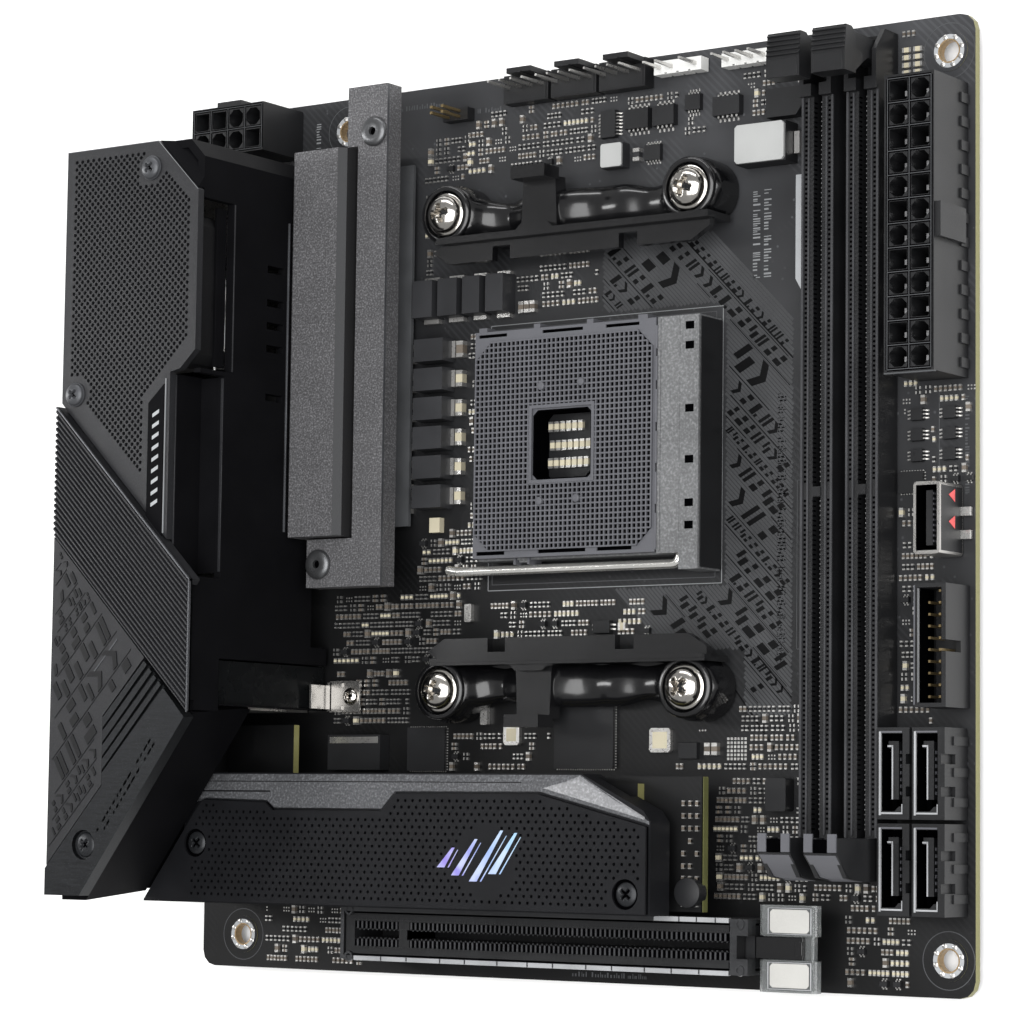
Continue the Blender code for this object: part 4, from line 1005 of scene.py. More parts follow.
def make_chips():
    """Chips, inductors, crystals and header pins, each at its own place."""
    shape = Shape()
    # by the upper edge
    for x0, x1, y0, y1, high, sides in ((98.6, 103.8, 156.8, 160.6, 1.5, "NS"),
                                        (104.6, 109.4, 156.8, 160.6, 1.5, "NS"),
                                        (111.4, 114.8, 159.0, 162.0, 1.1, "NS"),
                                        (117.6, 123.4, 157.2, 160.8, 1.5, "NS"),
                                        (93.0, 96.4, 155.8, 161.0, 1.2, "EW"),
                                        (71.0, 74.2, 137.0, 139.6, 1.0, "EW")):
        leaded_chip(shape, x0, x1, y0, y1, high, 0.95 if high > 1.2 else 0.65, sides)
        take(x0 - 1.0, x1 + 1.0, y0 - 1.0, y1 + 1.0)
    shape.prism([(129.6, 155.4), (135.8, 155.4), (137.0, 157.0), (137.0, 160.6), (129.6, 160.6)], 0.1, 2.6,
                finish=CHIP)
    take(129, 138, 155, 161)
    # inductors with a pale top
    shape.prism(rectangle(124.4, 134.8, 147.0, 154.2), 0.2, 4.4, finish=BLACK)
    shape.prism(chamfered(124.5, 134.7, 147.1, 154.1, 0.5), 4.4, 5.0, finish=WHITE)
    shape.box(134.9, 136.0, 148.6, 152.6, 0, 1.6, TIN)
    take(123.6, 136.4, 146.4, 154.8)
    shape.prism(rectangle(94.1, 98.9, 149.8, 154.4), 0.2, 2.4, finish=CHOKE)
    shape.prism(chamfered(94.2, 98.8, 149.9, 154.3, 0.3), 2.4, 2.8, finish=WHITE)
    take(93.4, 99.6, 149.2, 155.0)
    two_pole(shape, 101.0, 152.0, 2.4, 1.4, 1.2, True, CHOKE, 0.3)
    leaded_chip(shape, 102.6, 106.2, 150.6, 153.6, 1.0, 0.65, "NS", 0.6)
    take(100, 107, 149.6, 154.6)
    # chips and crystals beside and below the lower bracket
    flat_chip(shape, 50.2, 59.0, 38.4, 46.6, 0.9)
    take(49.6, 59.6, 37.8, 47.2)
    flat_chip(shape, 52.6, 58.2, 51.2, 56.6, 0.9)
    take(52.0, 58.8, 50.6, 57.2)
    shape.box(32.7, 45.3, 38.5, 45.2, 0.1, 3.0, CHIP)
    shape.box(33.2, 44.8, 43.6, 44.8, 3.0, 3.06, TIN)
    take(32, 46, 38, 46)
    flat_chip(shape, 84.0, 97.0, 38.8, 50.4, 0.9, 0.5)
    take(83.5, 97.5, 38.4, 51.0)
    for x0, x1, y0, y1 in ((72.6, 76.2, 43.2, 47.0), (104.9, 109.4, 41.8, 46.2)):
        shape.prism(chamfered(x0, x1, y0, y1, 0.4), 0.05, 1.0, finish=TIN)
        shape.box(x0 + 0.7, x1 - 0.7, y0 + 0.7, y1 - 0.7, 1.0, 1.02, CREAM)
        take(x0 - 0.3, x1 + 0.3, y0 - 0.3, y1 + 0.3)
    for x, y in ((63.3, 66.4), (67.3, 47.0)):
        shape.prism(chamfered(x, x + 1.6, y, y + 3.4, 0.2), 0.05, 1.1, finish=TIN)
        take(x, x + 1.6, y, y + 3.4)
    leaded_chip(shape, 92.4, 96.2, 63.6, 66.0, 1.2, 0.8, "EW", 0.7)
    take(91.4, 97.2, 63.2, 66.6)
    two_pole(shape, 98.6, 64.8, 1.6, 1.4, 0.9, False, CREAM)
    # two capacitors, a grid of lands and a chip above the drive heatsink's end
    for x in (117.2, 118.7):
        two_pole(shape, x, 42.4, 2.2, 1.2, 1.1, True, TAN, 0.3)
    take(116.2, 119.6, 41.0, 43.8)
    land_grid(shape, 120.8, 40.4, 6, 6, 0.72, 0.46)
    leaded_chip(shape, 111.0, 115.0, 40.6, 43.6, 0.9, 0.65, "", 0.6)
    take(110.6, 115.4, 40.2, 44.0)
    # a black block between heatsink and memory, then chips beside the 24-circuit header
    shape.prism(chamfered(130.4, 134.6, 31.4, 37.2, 0.3), 0.1, 3.0, finish=BLACK)
    take(130, 135, 31, 38)
    for x0, x1, reach in ((164.2, 166.8, 1.2), (158.0, 160.4, 1.1)):
        for y in (99.2, 95.6, 92.0):
            leaded_chip(shape, x0, x1, y, y + 2.2, 1.0, 0.65, "EW", 0.9)
            take(x0 - reach, x1 + reach, y - 0.3, y + 2.5)
    flat_chip(shape, 155.6, 160.4, 86.6, 90.4, 0.8)
    take(155, 161, 86, 91)
    # a small pin header beside the heatsink bar, and pale resistors near the corner
    shape.box(57.6, 63.4, 162.6, 165.0, 0.1, 2.4, BLACK)
    for i in range(2):
        for j in range(2):
            shape.box(58.6 + i * PIN_PITCH, 59.2 + i * PIN_PITCH, 163.0 + j * 1.1, 163.5 + j * 1.1, 2.4, 8.0,
                      GOLD)
    take(57, 64, 162, 165.4)
    for i in range(4):
        for x in (157.0, 159.2):
            two_pole(shape, x, 160.8 + i * 1.35, 1.7, 0.85, 0.7, False, CREAM, 0.22)
    take(155.6, 160.6, 159.8, 165.6)
    # the raised black floor in the socket's window, which also paints the shade inside it, and the capacitors
    # on it
    reach, floor = 6.15, 3.0
    shape.box(SOCKET_X - reach, SOCKET_X + reach, SOCKET_Y - reach, SOCKET_Y + reach, 0.02, floor, BLACK)
    for y, x0, count in ((102.0, 83.9, 6), (98.5, 84.3, 7), (95.2, 83.9, 7)):
        for i in range(count):
            two_pole(shape, x0 + i * 1.33 + 0.5, y, 1.9, 0.95, 0.8, True, CREAM, 0.22, floor)
    build(shape, "chips_and_inductors", FINISHES_SMALL, bevel=0.05, fix=False)


# x0, x1, y0, y1, fill, distance between rows, cream
CROWDS = (
    (110.5, 137.5, 38.5, 50.0, 0.86, 1.7), (118.5, 137.5, 15.5, 38.0, 0.9, 1.7, 0.3),
    (136.0, 154.6, 14.0, 19.0, 0.85, 1.7, 0.3), (145.0, 158.0, 1.2, 13.2, 0.85, 1.8),
    (31.5, 62.0, 58.8, 72.4, 0.9, 1.7, 0.2), (51.8, 67.0, 72.4, 84.0, 0.9, 1.7, 0.2),
    (32.0, 50.0, 47.2, 58.6, 0.85, 1.8), (60.0, 83.0, 38.4, 50.0, 0.5, 1.9),
    (69.0, 103.0, 59.5, 71.0, 0.75, 1.8, 0.3), (52.2, 62.0, 133.2, 160.8, 0.75, 1.8, 0.2),
    (62.0, 96.0, 152.0, 163.6, 0.75, 1.75, 0.25), (96.0, 138.5, 154.6, 165.0, 0.72, 1.75, 0.25),
    (64.0, 92.0, 125.0, 139.0, 0.6, 1.7, 0.5), (63.2, 67.0, 84.0, 122.0, 0.55, 1.8),
    (156.0, 168.8, 88.0, 105.4, 0.85, 1.75), (155.6, 162.4, 46.4, 87.6, 0.75, 1.9),
    (155.2, 158.8, 105.0, 158.0, 0.5, 1.9), (12.0, 42.0, 1.2, 12.0, 0.6, 1.9),
    (150.0, 160.0, 158.0, 168.0, 0.6, 1.8),
)


def make_small_parts():
    """Crowds of small parts on the areas that nothing else takes."""
    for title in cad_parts:
        low, high = node_box(title)
        if title != "pcb" and low.z < 2.5 and high.z > 0.2:
            if title not in ("cover_side_wall", "rear_plate", "drive_board", "socket_lever", "backplate"):
                take(low.x, high.x, low.y, high.y)
    for x, y in MOUNT_HOLES:
        take(x - 5.3, x + 5.3, y - 5.3, y + 5.3)
    take(27.5, 31.0, 56.0, 156.0)
    take(119.8, 135.0, 57.0, 137.0)
    take(67.0, 119.8, 71.6, 123.0)
    shape = Shape()
    dice = random.Random(31)
    for area in CROWDS:
        scatter(shape, dice, *area)
    build(shape, "small_parts", FINISHES_SMALL, fix=False)


# ---------------------------------------------------------------- processor socket
GRID_HALF = 19.5
CORNER_CUT = 3.0
WINDOW_HALF = 6.5
COVER_TOP = 7.7                  # of the sliding cover and the cam box


def make_pin_field():
    """The lattice of square pin holes, with cut corners and a window, on the sliding cover."""
    shape = Shape()
    cx = SOCKET_X
    cy = SOCKET_Y + 0.3
    half = GRID_HALF
    w = WINDOW_HALF
    floor = chamfered(cx - half, cx + half, cy - half, cy + half, CORNER_CUT)
    window = rectangle(cx - w - 0.1, cx + w + 0.1, cy - w - 0.4, cy + w + 0.1)
    # a black sheet under the lattice paints the shade in the pin holes
    shape.plate(floor, [window], COVER_TOP + 0.005, COVER_TOP + 0.03, 1)
    bar = 0.15                   # half the width of a lattice bar
    top = COVER_TOP + 0.42
    for i in range(40):
        offset = i - half        # the pin pitch is 1 mm
        reach = half - max(0.0, abs(offset) - (half - CORNER_CUT))
        runs = [(-reach, reach)]
        if abs(offset) < w + 0.3:
            runs = [(-reach, -w - 0.4), (w + 0.1, reach)]
        for low, high in runs:
            shape.box(cx + offset - bar, cx + offset + bar, cy + low, cy + high, COVER_TOP, top, 0)
            shape.box(cx + low, cx + high, cy + offset - bar, cy + offset + bar, COVER_TOP, top - 0.012, 0)
    # frame round the window, four small posts, and black fills that paint the shade in the cover's slots
    for x0, x1, y0, y1 in ((-w - 0.7, w + 0.7, w, w + 0.6), (-w - 0.7, w + 0.7, -w - 0.9, -w - 0.3),
                           (-w - 0.7, -w - 0.1, -w - 0.3, w), (w + 0.1, w + 0.7, -w - 0.3, w)):
        shape.box(cx + x0, cx + x1, cy + y0, cy + y1, COVER_TOP, top + 0.1, 0)
    for x, y in ((-4.6, 10.6), (4.2, 10.9), (-4.8, -10.7), (3.4, -10.5)):
        post = [(0.8, COVER_TOP), (0.75, top + 0.25), (0.5, top + 0.35), (0, top + 0.38)]
        shape.lathe(post, cx + x, cy + y, 0, 14)
    for x0, x1, y0, y1 in ((70.6, 77.0, 119.0, 119.6), (85.0, 94.0, 119.0, 119.6),
                           (99.0, 106.3, 119.0, 119.6), (70.6, 77.0, 78.2, 78.9),
                           (84.5, 95.0, 78.2, 78.9), (97.5, 105.0, 78.2, 78.9)):
        shape.box(x0 - 0.05, x1 + 0.05, y0 - 0.05, y1 + 0.05, 5.75, COVER_TOP - 0.3, 1)
    window_liner(shape, 5.75, COVER_TOP + 0.1, 1)
    build(shape, "pin_field", [socket_grey, shade_black], body="socket_cover",
          fix=False)


def window_liner(shape, low, high, finish):
    """A thin black skin on the walls of the socket's window that paints their shade."""
    outer, inner = (chamfered(SOCKET_X - half, SOCKET_X + half, SOCKET_Y - half, SOCKET_Y + half, 1.0)
                    for half in (WINDOW_HALF - 0.02, WINDOW_HALF - 0.3))
    for i in range(8):
        j = (i + 1) % 8
        shape.prism([outer[i], outer[j], inner[j], inner[i]], low, high, finish=finish)


def make_socket_trim():
    """Ribs and lips on the socket's fixed frame and its cam box, and black fills that paint the shade in its
    hollows.
    """
    shape = Shape()
    window_liner(shape, 0.05, 5.35, 2)
    # black fills that paint the shade in the cam box's holes
    for y in (118.2, 114.6, 103.2, 94.0, 86.2, 82.2):
        shape.box(116.22, 117.98, y - 0.68, y + 0.68, 6.9, 7.72, 2)
    # a black sheet on the frame's outer side paints the shade on that face
    shape.box(119.5, 119.56, 74.6, 119.7, 0.4, 7.66, 3)
    for y0, y1 in ((78.0, 84.6), (86.2, 92.0), (93.6, 99.4), (101.0, 107.0), (108.6, 113.0), (114.4, 118.6)):
        shape.box(109.95, 110.35, y0, y1, 5.4, 7.9, 0)
    shape.boxes(1, (110.7, 111.0, 77.8, 119.8, COVER_TOP, 7.86),
                (118.8, 119.15, 74.5, 119.9, COVER_TOP, 7.95),
                (114.9, 115.05, 79.0, 119.6, COVER_TOP, 7.76), (110.9, 115.0, 100.2, 100.35, COVER_TOP, 7.76),
                (110.9, 115.0, 83.2, 83.35, COVER_TOP, 7.76), (119.2, 119.5, 96.5, 100.5, 3.6, 6.6),
                (119.2, 119.5, 84.0, 88.0, 3.6, 6.6))
    shape.box(119.2, 119.45, 76.0, 96.0, 1.2, 1.6, 0)
    for x in (77.9, 81.0):
        shape.box(x, x + 0.5, 76.4, 78.6, 2.0, 6.0, 0)
    for x0, x1 in ((70.6, 72.4), (83.0, 84.4), (94.8, 96.2), (106.0, 108.0)):
        shape.box(x0, x1, 120.1, 120.9, 4.0, 7.6, 0)
    build(shape, "socket_trim", [socket_grey, socket_pale, shade_black, satin_black])


def make_lever():
    """The wire lever: along the socket's low edge, round a bend, and into its bore."""
    shape = Shape()
    z = 4.2
    y = 75.6
    bend_x = 111.6
    bend = 1.6
    wire = 0.88                  # radius
    route = [(61.75, y + 0.4, z), (63.0, y + 0.15, z), (64.5, y, z), (80.0, y, z), (96.0, y, z),
             (bend_x, y, z)]
    for degrees in (15, 30, 45, 60, 75, 90):
        angle = math.radians(degrees)
        route.append((bend_x + bend * math.sin(angle), y + bend * (1 - math.cos(angle)), z))
    route += [(113.2, 90.0, z), (113.2, 116.0, z)]
    shape.tube(route, wire, 0, 16)
    shape.lathe([(0, 61.2), (0.45, 61.25), (0.8, 61.55), (wire, 61.9)], y + 0.4, z, 0, 16, "X")
    build(shape, "lever_wire", [lever_nickel], body="socket_lever",
          replaces=("socket_lever",), smooth=60)


# ---------------------------------------------------------------- cooler brackets
BRACKET_HALF = 27.0              # from the bracket's middle to each screw
BOSS_R = 6.0                     # of the round ends


def bracket_top(u, v):
    """Height of the upper face. u runs along it from its middle, v from the screw line outwards."""
    reach = min(math.hypot(u - BRACKET_HALF, v), math.hypot(u + BRACKET_HALF, v))
    boss = 7.6 - 2.2 * smooth_step(reach, 4.4, 7.6) - 0.5 * smooth_step(4.4 - reach, 0.0, 0.6)
    saddle = 5.0 + 1.5 * math.cos(math.pi * min(1.0, abs(u + 6.4) / 9.0) / 2)
    dip = 1.3 * math.exp(-((abs(u) - 15.5) / 4.2) ** 2) + 0.8 * math.exp(-((u - 5.5) / 3.0) ** 2)
    body = saddle - dip - 0.09 * (v + 0.6) ** 2
    blend = smooth_step(reach, 5.2, 8.4)
    return boss * (1 - blend) + body * blend


def bracket_edges(u):
    """Near and far edge of the bracket's body at u."""
    near = -4.7
    far = 3.2 - 1.2 * math.exp(-((abs(u) - 16.0) / 4.0) ** 2)
    for centre in (-BRACKET_HALF, BRACKET_HALF):
        d = abs(u - centre)
        if d < 5.6:
            far = max(far, math.sqrt(BOSS_R ** 2 - d * d))
    end = abs(u) - BRACKET_HALF
    if end > 0:
        half = math.sqrt(max(BOSS_R ** 2 - end * end, 0.04))
        near = max(near, -half)
        far = half
    return near, far


def make_bracket(title, side):
    """A cooler bracket: its moulded body, and the wall, flange and hook beside the socket."""
    shape = Shape()
    screw_y = SOCKET_Y + side * 45.0

    def spot(u, v, z):
        return (SOCKET_X + u, screw_y + side * v, z)

    stations = [-32.9, -32.4, -31.6, -30.5]
    stations += [-29.0 + 58.0 * i / 96 for i in range(97)]
    stations += [30.5, 31.6, 32.4, 32.9]
    steps = 14
    rows = []
    for u in stations:
        near, far = bracket_edges(u)
        low = 0.35 if abs(abs(u) - BRACKET_HALF) < 6.5 else 2.3
        row = [spot(u, near, low)]
        for i in range(steps + 1):
            t = i / steps
            v = near + (far - near) * t
            edge = min(t, 1 - t) * (far - near)
            drop = 0.7 * (1 - smooth_step(edge, 0.0, 0.9))
            row.append(spot(u, v, bracket_top(u, v) - drop))
        row.append(spot(u, far, low))
        rows.append(row)
    shape.loft(rows)

    def wall(outline, low, high, top=None):
        shape.prism([spot(u, v, 0)[:2] for u, v in outline], low, high,
                    top=[spot(u, v, 0)[:2] for u, v in (top or outline)])

    # tall wall beside the socket, with its chamfered flange leaning over it
    wall([(-28.4, -5.8), (31.8, -5.8), (31.8, -4.6), (-28.4, -4.6)], 1.3, 9.2)
    wall([(-28.4, -5.9), (31.6, -5.9), (31.6, -5.2), (-28.4, -5.2)], 9.2, 9.5)
    flange = [(-26.5, -5.4), (-30.0, -7.2), (-26.0, -9.6), (-16.1, -9.6), (-16.1, -7.0), (-12.1, -7.0),
              (-12.1, -9.6), (12.1, -9.6), (12.1, -7.0), (16.1, -7.0), (16.1, -9.6), (27.6, -9.6),
              (31.5, -7.2), (31.5, -5.4)]
    wall(flange, 6.3, 8.0)
    hook = -6.4
    wall([(hook - 4.2, -4.8), (hook + 4.2, -4.8), (hook + 3.9, 5.4), (hook - 3.9, 5.4)], 4.0, 6.9,
         [(hook - 4.0, -4.6), (hook + 4.0, -4.6), (hook + 3.6, 5.2), (hook - 3.6, 5.2)])
    wall([(hook - 3.8, 4.7), (hook + 3.8, 4.7), (hook + 3.8, 7.0), (hook - 3.8, 7.0)], 6.0, 10.9)
    wall([(hook - 4.6, -4.9), (hook + 4.6, -4.9), (hook + 3.0, -3.4), (hook - 3.0, -3.4)], 5.6, 8.6)
    build(shape, f"bracket_{title}", [gloss_black], bevel=0.3, segments=2, smooth=50,
          replaces=(f"cooler_bracket_{title}",))


def phillips_head(shape, x, y, seat, radius, height, finish=0, recess=1, turn=0.3):
    """A domed head whose cross recess is pressed into its crown."""
    arm = 0.55                   # the recess's reach and half width, as shares of the radius
    width = 0.15
    sides = 56
    rings = 22
    rows = []
    for r in range(rings + 1):
        reach = radius * (1 - r / rings)
        lift = math.sqrt(max(0.0, 1 - (reach / radius) ** 2))
        row = []
        for i in range(sides):
            angle = 2 * math.pi * i / sides + turn
            px = reach * math.cos(angle)
            py = reach * math.sin(angle)
            along = max(abs(px), abs(py)) / radius
            across = min(abs(px), abs(py)) / radius
            slot = 1 - smooth_step(across, width * 0.6, width * 1.15)
            slot *= 1 - smooth_step(along, arm * 0.8, arm)
            z = seat + height * (0.18 + 0.82 * lift) - height * 0.7 * slot
            c = math.cos(turn)
            s = math.sin(turn)
            row.append((x + px * c - py * s, y + px * s + py * c, z))
        rows.append(row)
    base = [(x + radius * math.cos(2 * math.pi * i / sides + 2 * turn),
             y + radius * math.sin(2 * math.pi * i / sides + 2 * turn), seat) for i in range(sides)]
    shape.grid([base] + rows, finish, closed=True)
    # a dark disc low in the recess paints its shade
    shape.lathe([(0.0, seat + height * 0.3), (radius * arm * 0.5, seat + height * 0.3)], x, y, recess, 16)


def make_screws():
    """The four cooler screws on their washers, then the cover, drive and heatsink screws."""
    for number in (1, 2, 3, 4):
        x, y = node_middle(f"cooler_screw_{number}")
        shape = Shape()
        phillips_head(shape, x, y, 8.15, 3.55, 2.45, turn=0.35 + number)
        shape.lathe([(1.0, 0.5), (1.0, 7.9), (4.15, 7.9), (4.2, 8.05), (4.0, 8.3), (3.4, 8.35)], x, y, 0, 40)
        shape.lathe([(4.5, 7.62), (5.6, 7.62), (5.6, 8.1), (5.2, 8.5), (4.6, 8.5), (4.45, 8.1), (4.5, 7.62)],
                    x, y, 2, 40)
        build(shape, f"spring_screw_{number}", [chrome, dark_screw, gloss_black],
              smooth=60, replaces=(f"cooler_screw_{number}",), fix=False)
    for name, radius, height, finish in (("cover_screw_1", 2.1, 1.0, pale_and_highlight_grey),
                                         ("cover_screw_2", 2.1, 1.0, pale_and_highlight_grey),
                                         ("cover_screw_3", 2.35, 0.7, dark_screw),
                                         ("drive_screw_1", 2.25, 0.9, dark_screw),
                                         ("drive_screw_2", 2.25, 0.9, dark_screw),
                                         ("heatsink_screw_1", 2.85, 0.9, grey_screw),
                                         ("heatsink_screw_2", 2.85, 0.9, grey_screw)):
        low, high = node_box(name)
        x, y = node_middle(name)
        seat = high.z - height - 0.02
        shape = Shape()
        if name.startswith("heatsink"):
            crown = ((0.0, 0.1), (0.75, 0.1), (0.8, 0.75), (1.5, 0.85), (2.5, 0.7), (radius, 0.35),
                     (radius, 0.0))
            shape.lathe([(reach, seat + rise) for reach, rise in crown], x, y, 0, 40)
            # a dark disc in the head's socket paints its shade
            shape.lathe([(0.0, seat + 0.14), (0.78, seat + 0.14)], x, y, 1, 20)
        else:
            phillips_head(shape, x, y, seat, radius, height, turn=len(name) + 0.4)
            shape.lathe([(radius + 0.04, seat - 0.05), (radius + 0.28, seat - 0.05),
                         (radius + 0.2, seat + 0.14), (radius + 0.04, seat + 0.1)], x, y, 0, 36)
        shape.lathe([(1.0, low.z), (1.0, seat), (radius, seat)], x, y, 0, 24)
        build(shape, name.replace("screw", "bolt"), [finish, shade_black], smooth=60,
              replaces=(name,), fix=False)


# ---------------------------------------------------------------- connectors
def make_power_cells():
    """Keyed cell rims, contacts and side ribs on the two power headers."""
    shape = Shape()
    top = 12.8
    size = 3.4                   # of a cell
    for x0, y0, columns, rows, pitch, keyed in ((160.3, 106.96, 2, 12, 4.2, 1), (4.5, 160.2, 4, 2, 4.3, 0)):
        for i in range(columns):
            for j in range(rows):
                x = x0 + i * pitch
                y = y0 + j * pitch
                cut = 0.95 if (i + j * 3 + keyed) % 5 < 3 else 0.25
                for cx, cy in ((0, 0), (1, 0), (0, 1), (1, 1)):
                    if cut < 0.5 and cy == 1:
                        continue
                    px = x + size * cx
                    py = y + size * cy
                    dx = -cut if cx else cut
                    dy = -cut if cy else cut
                    shape.prism([(px, py), (px + dx, py), (px, py + dy)], 4.0, top - 0.02, finish=0)
                mx = x + size / 2
                my = y + size / 2
                shape.box(mx - 0.85, mx + 0.85, my - 0.85, my + 0.85, 3.0, 7.4, 0)
                shape.box(mx - 0.45, mx + 0.45, my - 0.45, my + 0.45, 7.4, 9.6, 1)
        left = x0 - 0.4
        front = y0 - 0.4
        right = left + columns * pitch
        back = front + rows * pitch
        # painted shade in the gaps between the cells, each with a thin line of painted highlight along its
        # middle
        for along_y, first, count, b0, b1 in ((False, left, columns, front, back),
                                              (True, front, rows, left, right)):
            for i in range(count + 1):
                a = first + i * pitch
                shape.laid(along_y, a - 0.3, a + 0.3, b0, b1, top, top + 0.02, 3)
                shape.laid(along_y, a - 0.06, a + 0.06, b0, b1, top, top + 0.06, 2)
    low, high = node_box("board_power_header")
    for i in range(12):          # ribs on the outer wall
        y = 107.6 + i * 4.2
        shape.box(168.85, 169.25, y, y + 1.7, 0.6, 3.4, 0)
    shape.box(159.0, 159.3, low.y + 1.0, high.y - 1.0, 0.4, 2.2, 0)
    # a pale strip of painted highlight along the header's upper front edge
    shape.box(low.x - 0.02, 168.84, low.y - 0.22, low.y + 0.1, 12.0, 12.78, 2)
    build(shape, "power_cells", [satin_black, steel, dim_grey, shade_black],
          fix=False)


def make_memory_detail():
    """Rows of contacts, slot ribs and glossy flanks on the memory slots, and the latches' grips."""
    shape = Shape()
    top = 7.0
    for letter in "ab":
        x, _ = node_middle(f"memory_slot_{letter}")
        y = 28.2
        while y < 156.4:
            if not 85.6 < y + 0.4 < 88.4:        # the key
                for side in (-1, 1):
                    shape.beside(False, x, side, 0.84, 1.55, y, y + 0.42, top - 0.01, top + 0.12, 0)
                    # the contacts on the -x side are black for painted shade, those on the +x side pale
                    shape.beside(False, x, side, 0.62, 0.82, y + 0.1, y + 0.32, top - 0.9, top - 0.1,
                                 1 if side > 0 else 2)
                    # black dashes on the top paint the shade in its openings
                    shape.beside(False, x, side, 2.1, 2.55, y + 0.1, y + 0.5, top - 0.01, top + 0.06, 2)
            y += 0.85
        for side in (-1, 1):
            shape.beside(False, x, side, 1.62, 1.95, 27.4, 156.8, top - 0.02, top + 0.2, 3)
            shape.beside(False, x, side, 2.75, 3.18, 27.0, 157.0, top - 0.02, top + 0.28, 3)
        shape.box(x - 0.78, x + 0.78, 86.2, 87.8, 2.4, top + 0.2, 0)
        # fixed end towers: side webs, a black fill that paints the shade in their slot, and a stepped hood
        web = [(19.7, 13.0), (24.2, 20.9), (24.6, 21.3), (20.2, 17.4)]
        shape.prism(web, x - 3.1, x - 2.3, "X", finish=0)
        shape.prism(web, x + 2.3, x + 3.1, "X", finish=0)
        shape.box(x - 1.3, x + 1.3, 24.4, 26.7, 20.6, 21.25, 2)
        shape.prism([(19.54, 12.0), (20.34, 17.05), (23.95, 21.06), (24.1, 20.9), (20.5, 16.9), (19.7, 12.0)],
                    x - 2.9, x + 2.9, "X", finish=4)
        for side in (-1, 1):
            shape.beside(False, x, side, 1.45, 3.1, 24.5, 27.6, 20.9, 21.3, 4)
    build(shape, "memory_contacts", [satin_black, bead, shade_black, slot_rib, socket_grey],
          fix=False)
    for letter in "ab":
        x, _ = node_middle(f"memory_latch_{letter}")
        ridges = Shape()
        for i in range(5):
            y = 161.9 + i * 0.85
            z = 19.5 - max(0.0, y - 161.6) * 0.11
            ridges.prism([(y, z - 0.2), (y + 0.5, z - 0.25), (y + 0.42, z + 0.32), (y + 0.08, z + 0.36)],
                         x - 3.25, x + 3.25, "X")
        ridges.box(x - 2.9, x + 2.9, 158.1, 161.4, 19.4, 19.62)
        cheek = [(158.0, 16.2), (160.4, 13.0), (162.0, 13.0), (163.0, 16.2)]
        ridges.prism(cheek, x - 3.2, x - 2.2, "X")
        ridges.prism(cheek, x + 2.2, x + 3.2, "X")
        build(ridges, f"latch_grip_{letter}", [satin_black], body=f"memory_latch_{letter}",
              bevel=0.08)


def make_expansion_detail():
    """Contacts and ribs of the expansion slot with painted shade between them, and dashes of painted
    highlight along its steel shield's lips.
    """
    shape = Shape()
    y = 7.8
    top = 11.25
    for first, last in ((47.0, 56.4), (59.4, 128.2)):
        x = first
        while x < last:
            for side in (-1, 1):
                shape.beside(True, y, side, 1.0, 2.3, x, x + 0.34, top - 0.01, top + 0.16, 3)
                shape.beside(True, y, side, 0.68, 0.92, x + 0.05, x + 0.4, 4.0, top - 0.4, 1)
            x += 1.0
    for side in (-1, 1):
        # black strips under the contact tops paint the shade between them
        shape.beside(True, y, side, 0.96, 2.34, 46.4, 56.6, top - 0.01, top + 0.02, 4)
        shape.beside(True, y, side, 0.96, 2.34, 59.1, 128.6, top - 0.01, top + 0.02, 4)
        shape.beside(True, y, side, 2.35, 2.62, 46.2, 128.8, top - 0.02, top + 0.2, 0)
    shape.box(56.9, 58.7, y - 0.95, y + 0.95, 2.6, top + 0.24, 0)
    # dashes of painted highlight along the shield's upper lips
    dice = random.Random(7)
    for side, x, shortest, longest, gap in ((-1, 46.5, 5.0, 8.6, 0.35), (1, 113.0, 3.0, 5.5, 0.3)):
        while x < 128.0:
            run = min(dice.uniform(shortest, longest), 128.4 - x)
            shape.beside(True, y, side, 4.15, 4.98, x, x + run, 10.9, 11.72, 2)
            x += run + gap
    for px, reach in ((45.2, 4.3), (130.6, 4.0)):
        for side in (-1, 1):
            shape.lathe([(0.55, 11.2), (0.55, 11.75), (0.95, 11.75), (1.0, 11.5), (1.0, 11.2)],
                        px, y + side * reach, 1, 18)
    build(shape, "expansion_contacts", [satin_black, dark_steel, painted_highlight, slot_rib, shade_black],
          fix=False)


def make_expansion_latch():
    """The clear latch with its pale pads, rims of painted highlight round them, and a dark middle tongue."""
    shape = Shape()
    for low, high in ((1.0, 5.2), (10.4, 14.5)):
        shape.prism(chamfered(135.0, 142.8, low, high, 0.5), 8.66, 8.9, finish=1)
    shape.prism(rectangle(132.2, 141.6, 5.9, 9.7), 8.0, 8.82, finish=0)
    shape.prism(rectangle(140.4, 141.8, 6.6, 9.0), 8.7, 9.5, finish=0)
    # rims of painted highlight round the pads
    for low, high in ((0.7, 5.45), (10.15, 14.8)):
        for x0, x1, y0, y1 in ((134.6, 143.3, low, low + 0.18), (134.6, 143.3, high - 0.18, high),
                               (134.6, 134.8, low, high), (143.1, 143.3, low, high)):
            shape.box(x0, x1, y0, y1, 8.66, 9.0, 3)
    for y in (5.55, 9.85):
        shape.box(133.6, 143.4, y, y + 0.22, 8.6, 9.0, 2)
    shape.box(143.3, 143.75, 0.6, 14.9, 8.5, 8.85, 2)
    build(shape, "latch_pads", [gloss_black, latch_pad, clear_plastic, painted_highlight],
          body="expansion_slot_latch", bevel=0.12, segments=2)


# the finishes of the front ports' details, and their numbers
PORT_FINISHES = [satin_black, solder, gold, socket_grey, red_ink, painted_highlight, shade_black]
# one number stands for painted highlight on rims and edges, one for a black that paints the shade in walls
# and hollows
MOULD, TAB, PIN, GREY, RED, HIGHLIGHT_PAINT, SHADE_PAINT = range(7)
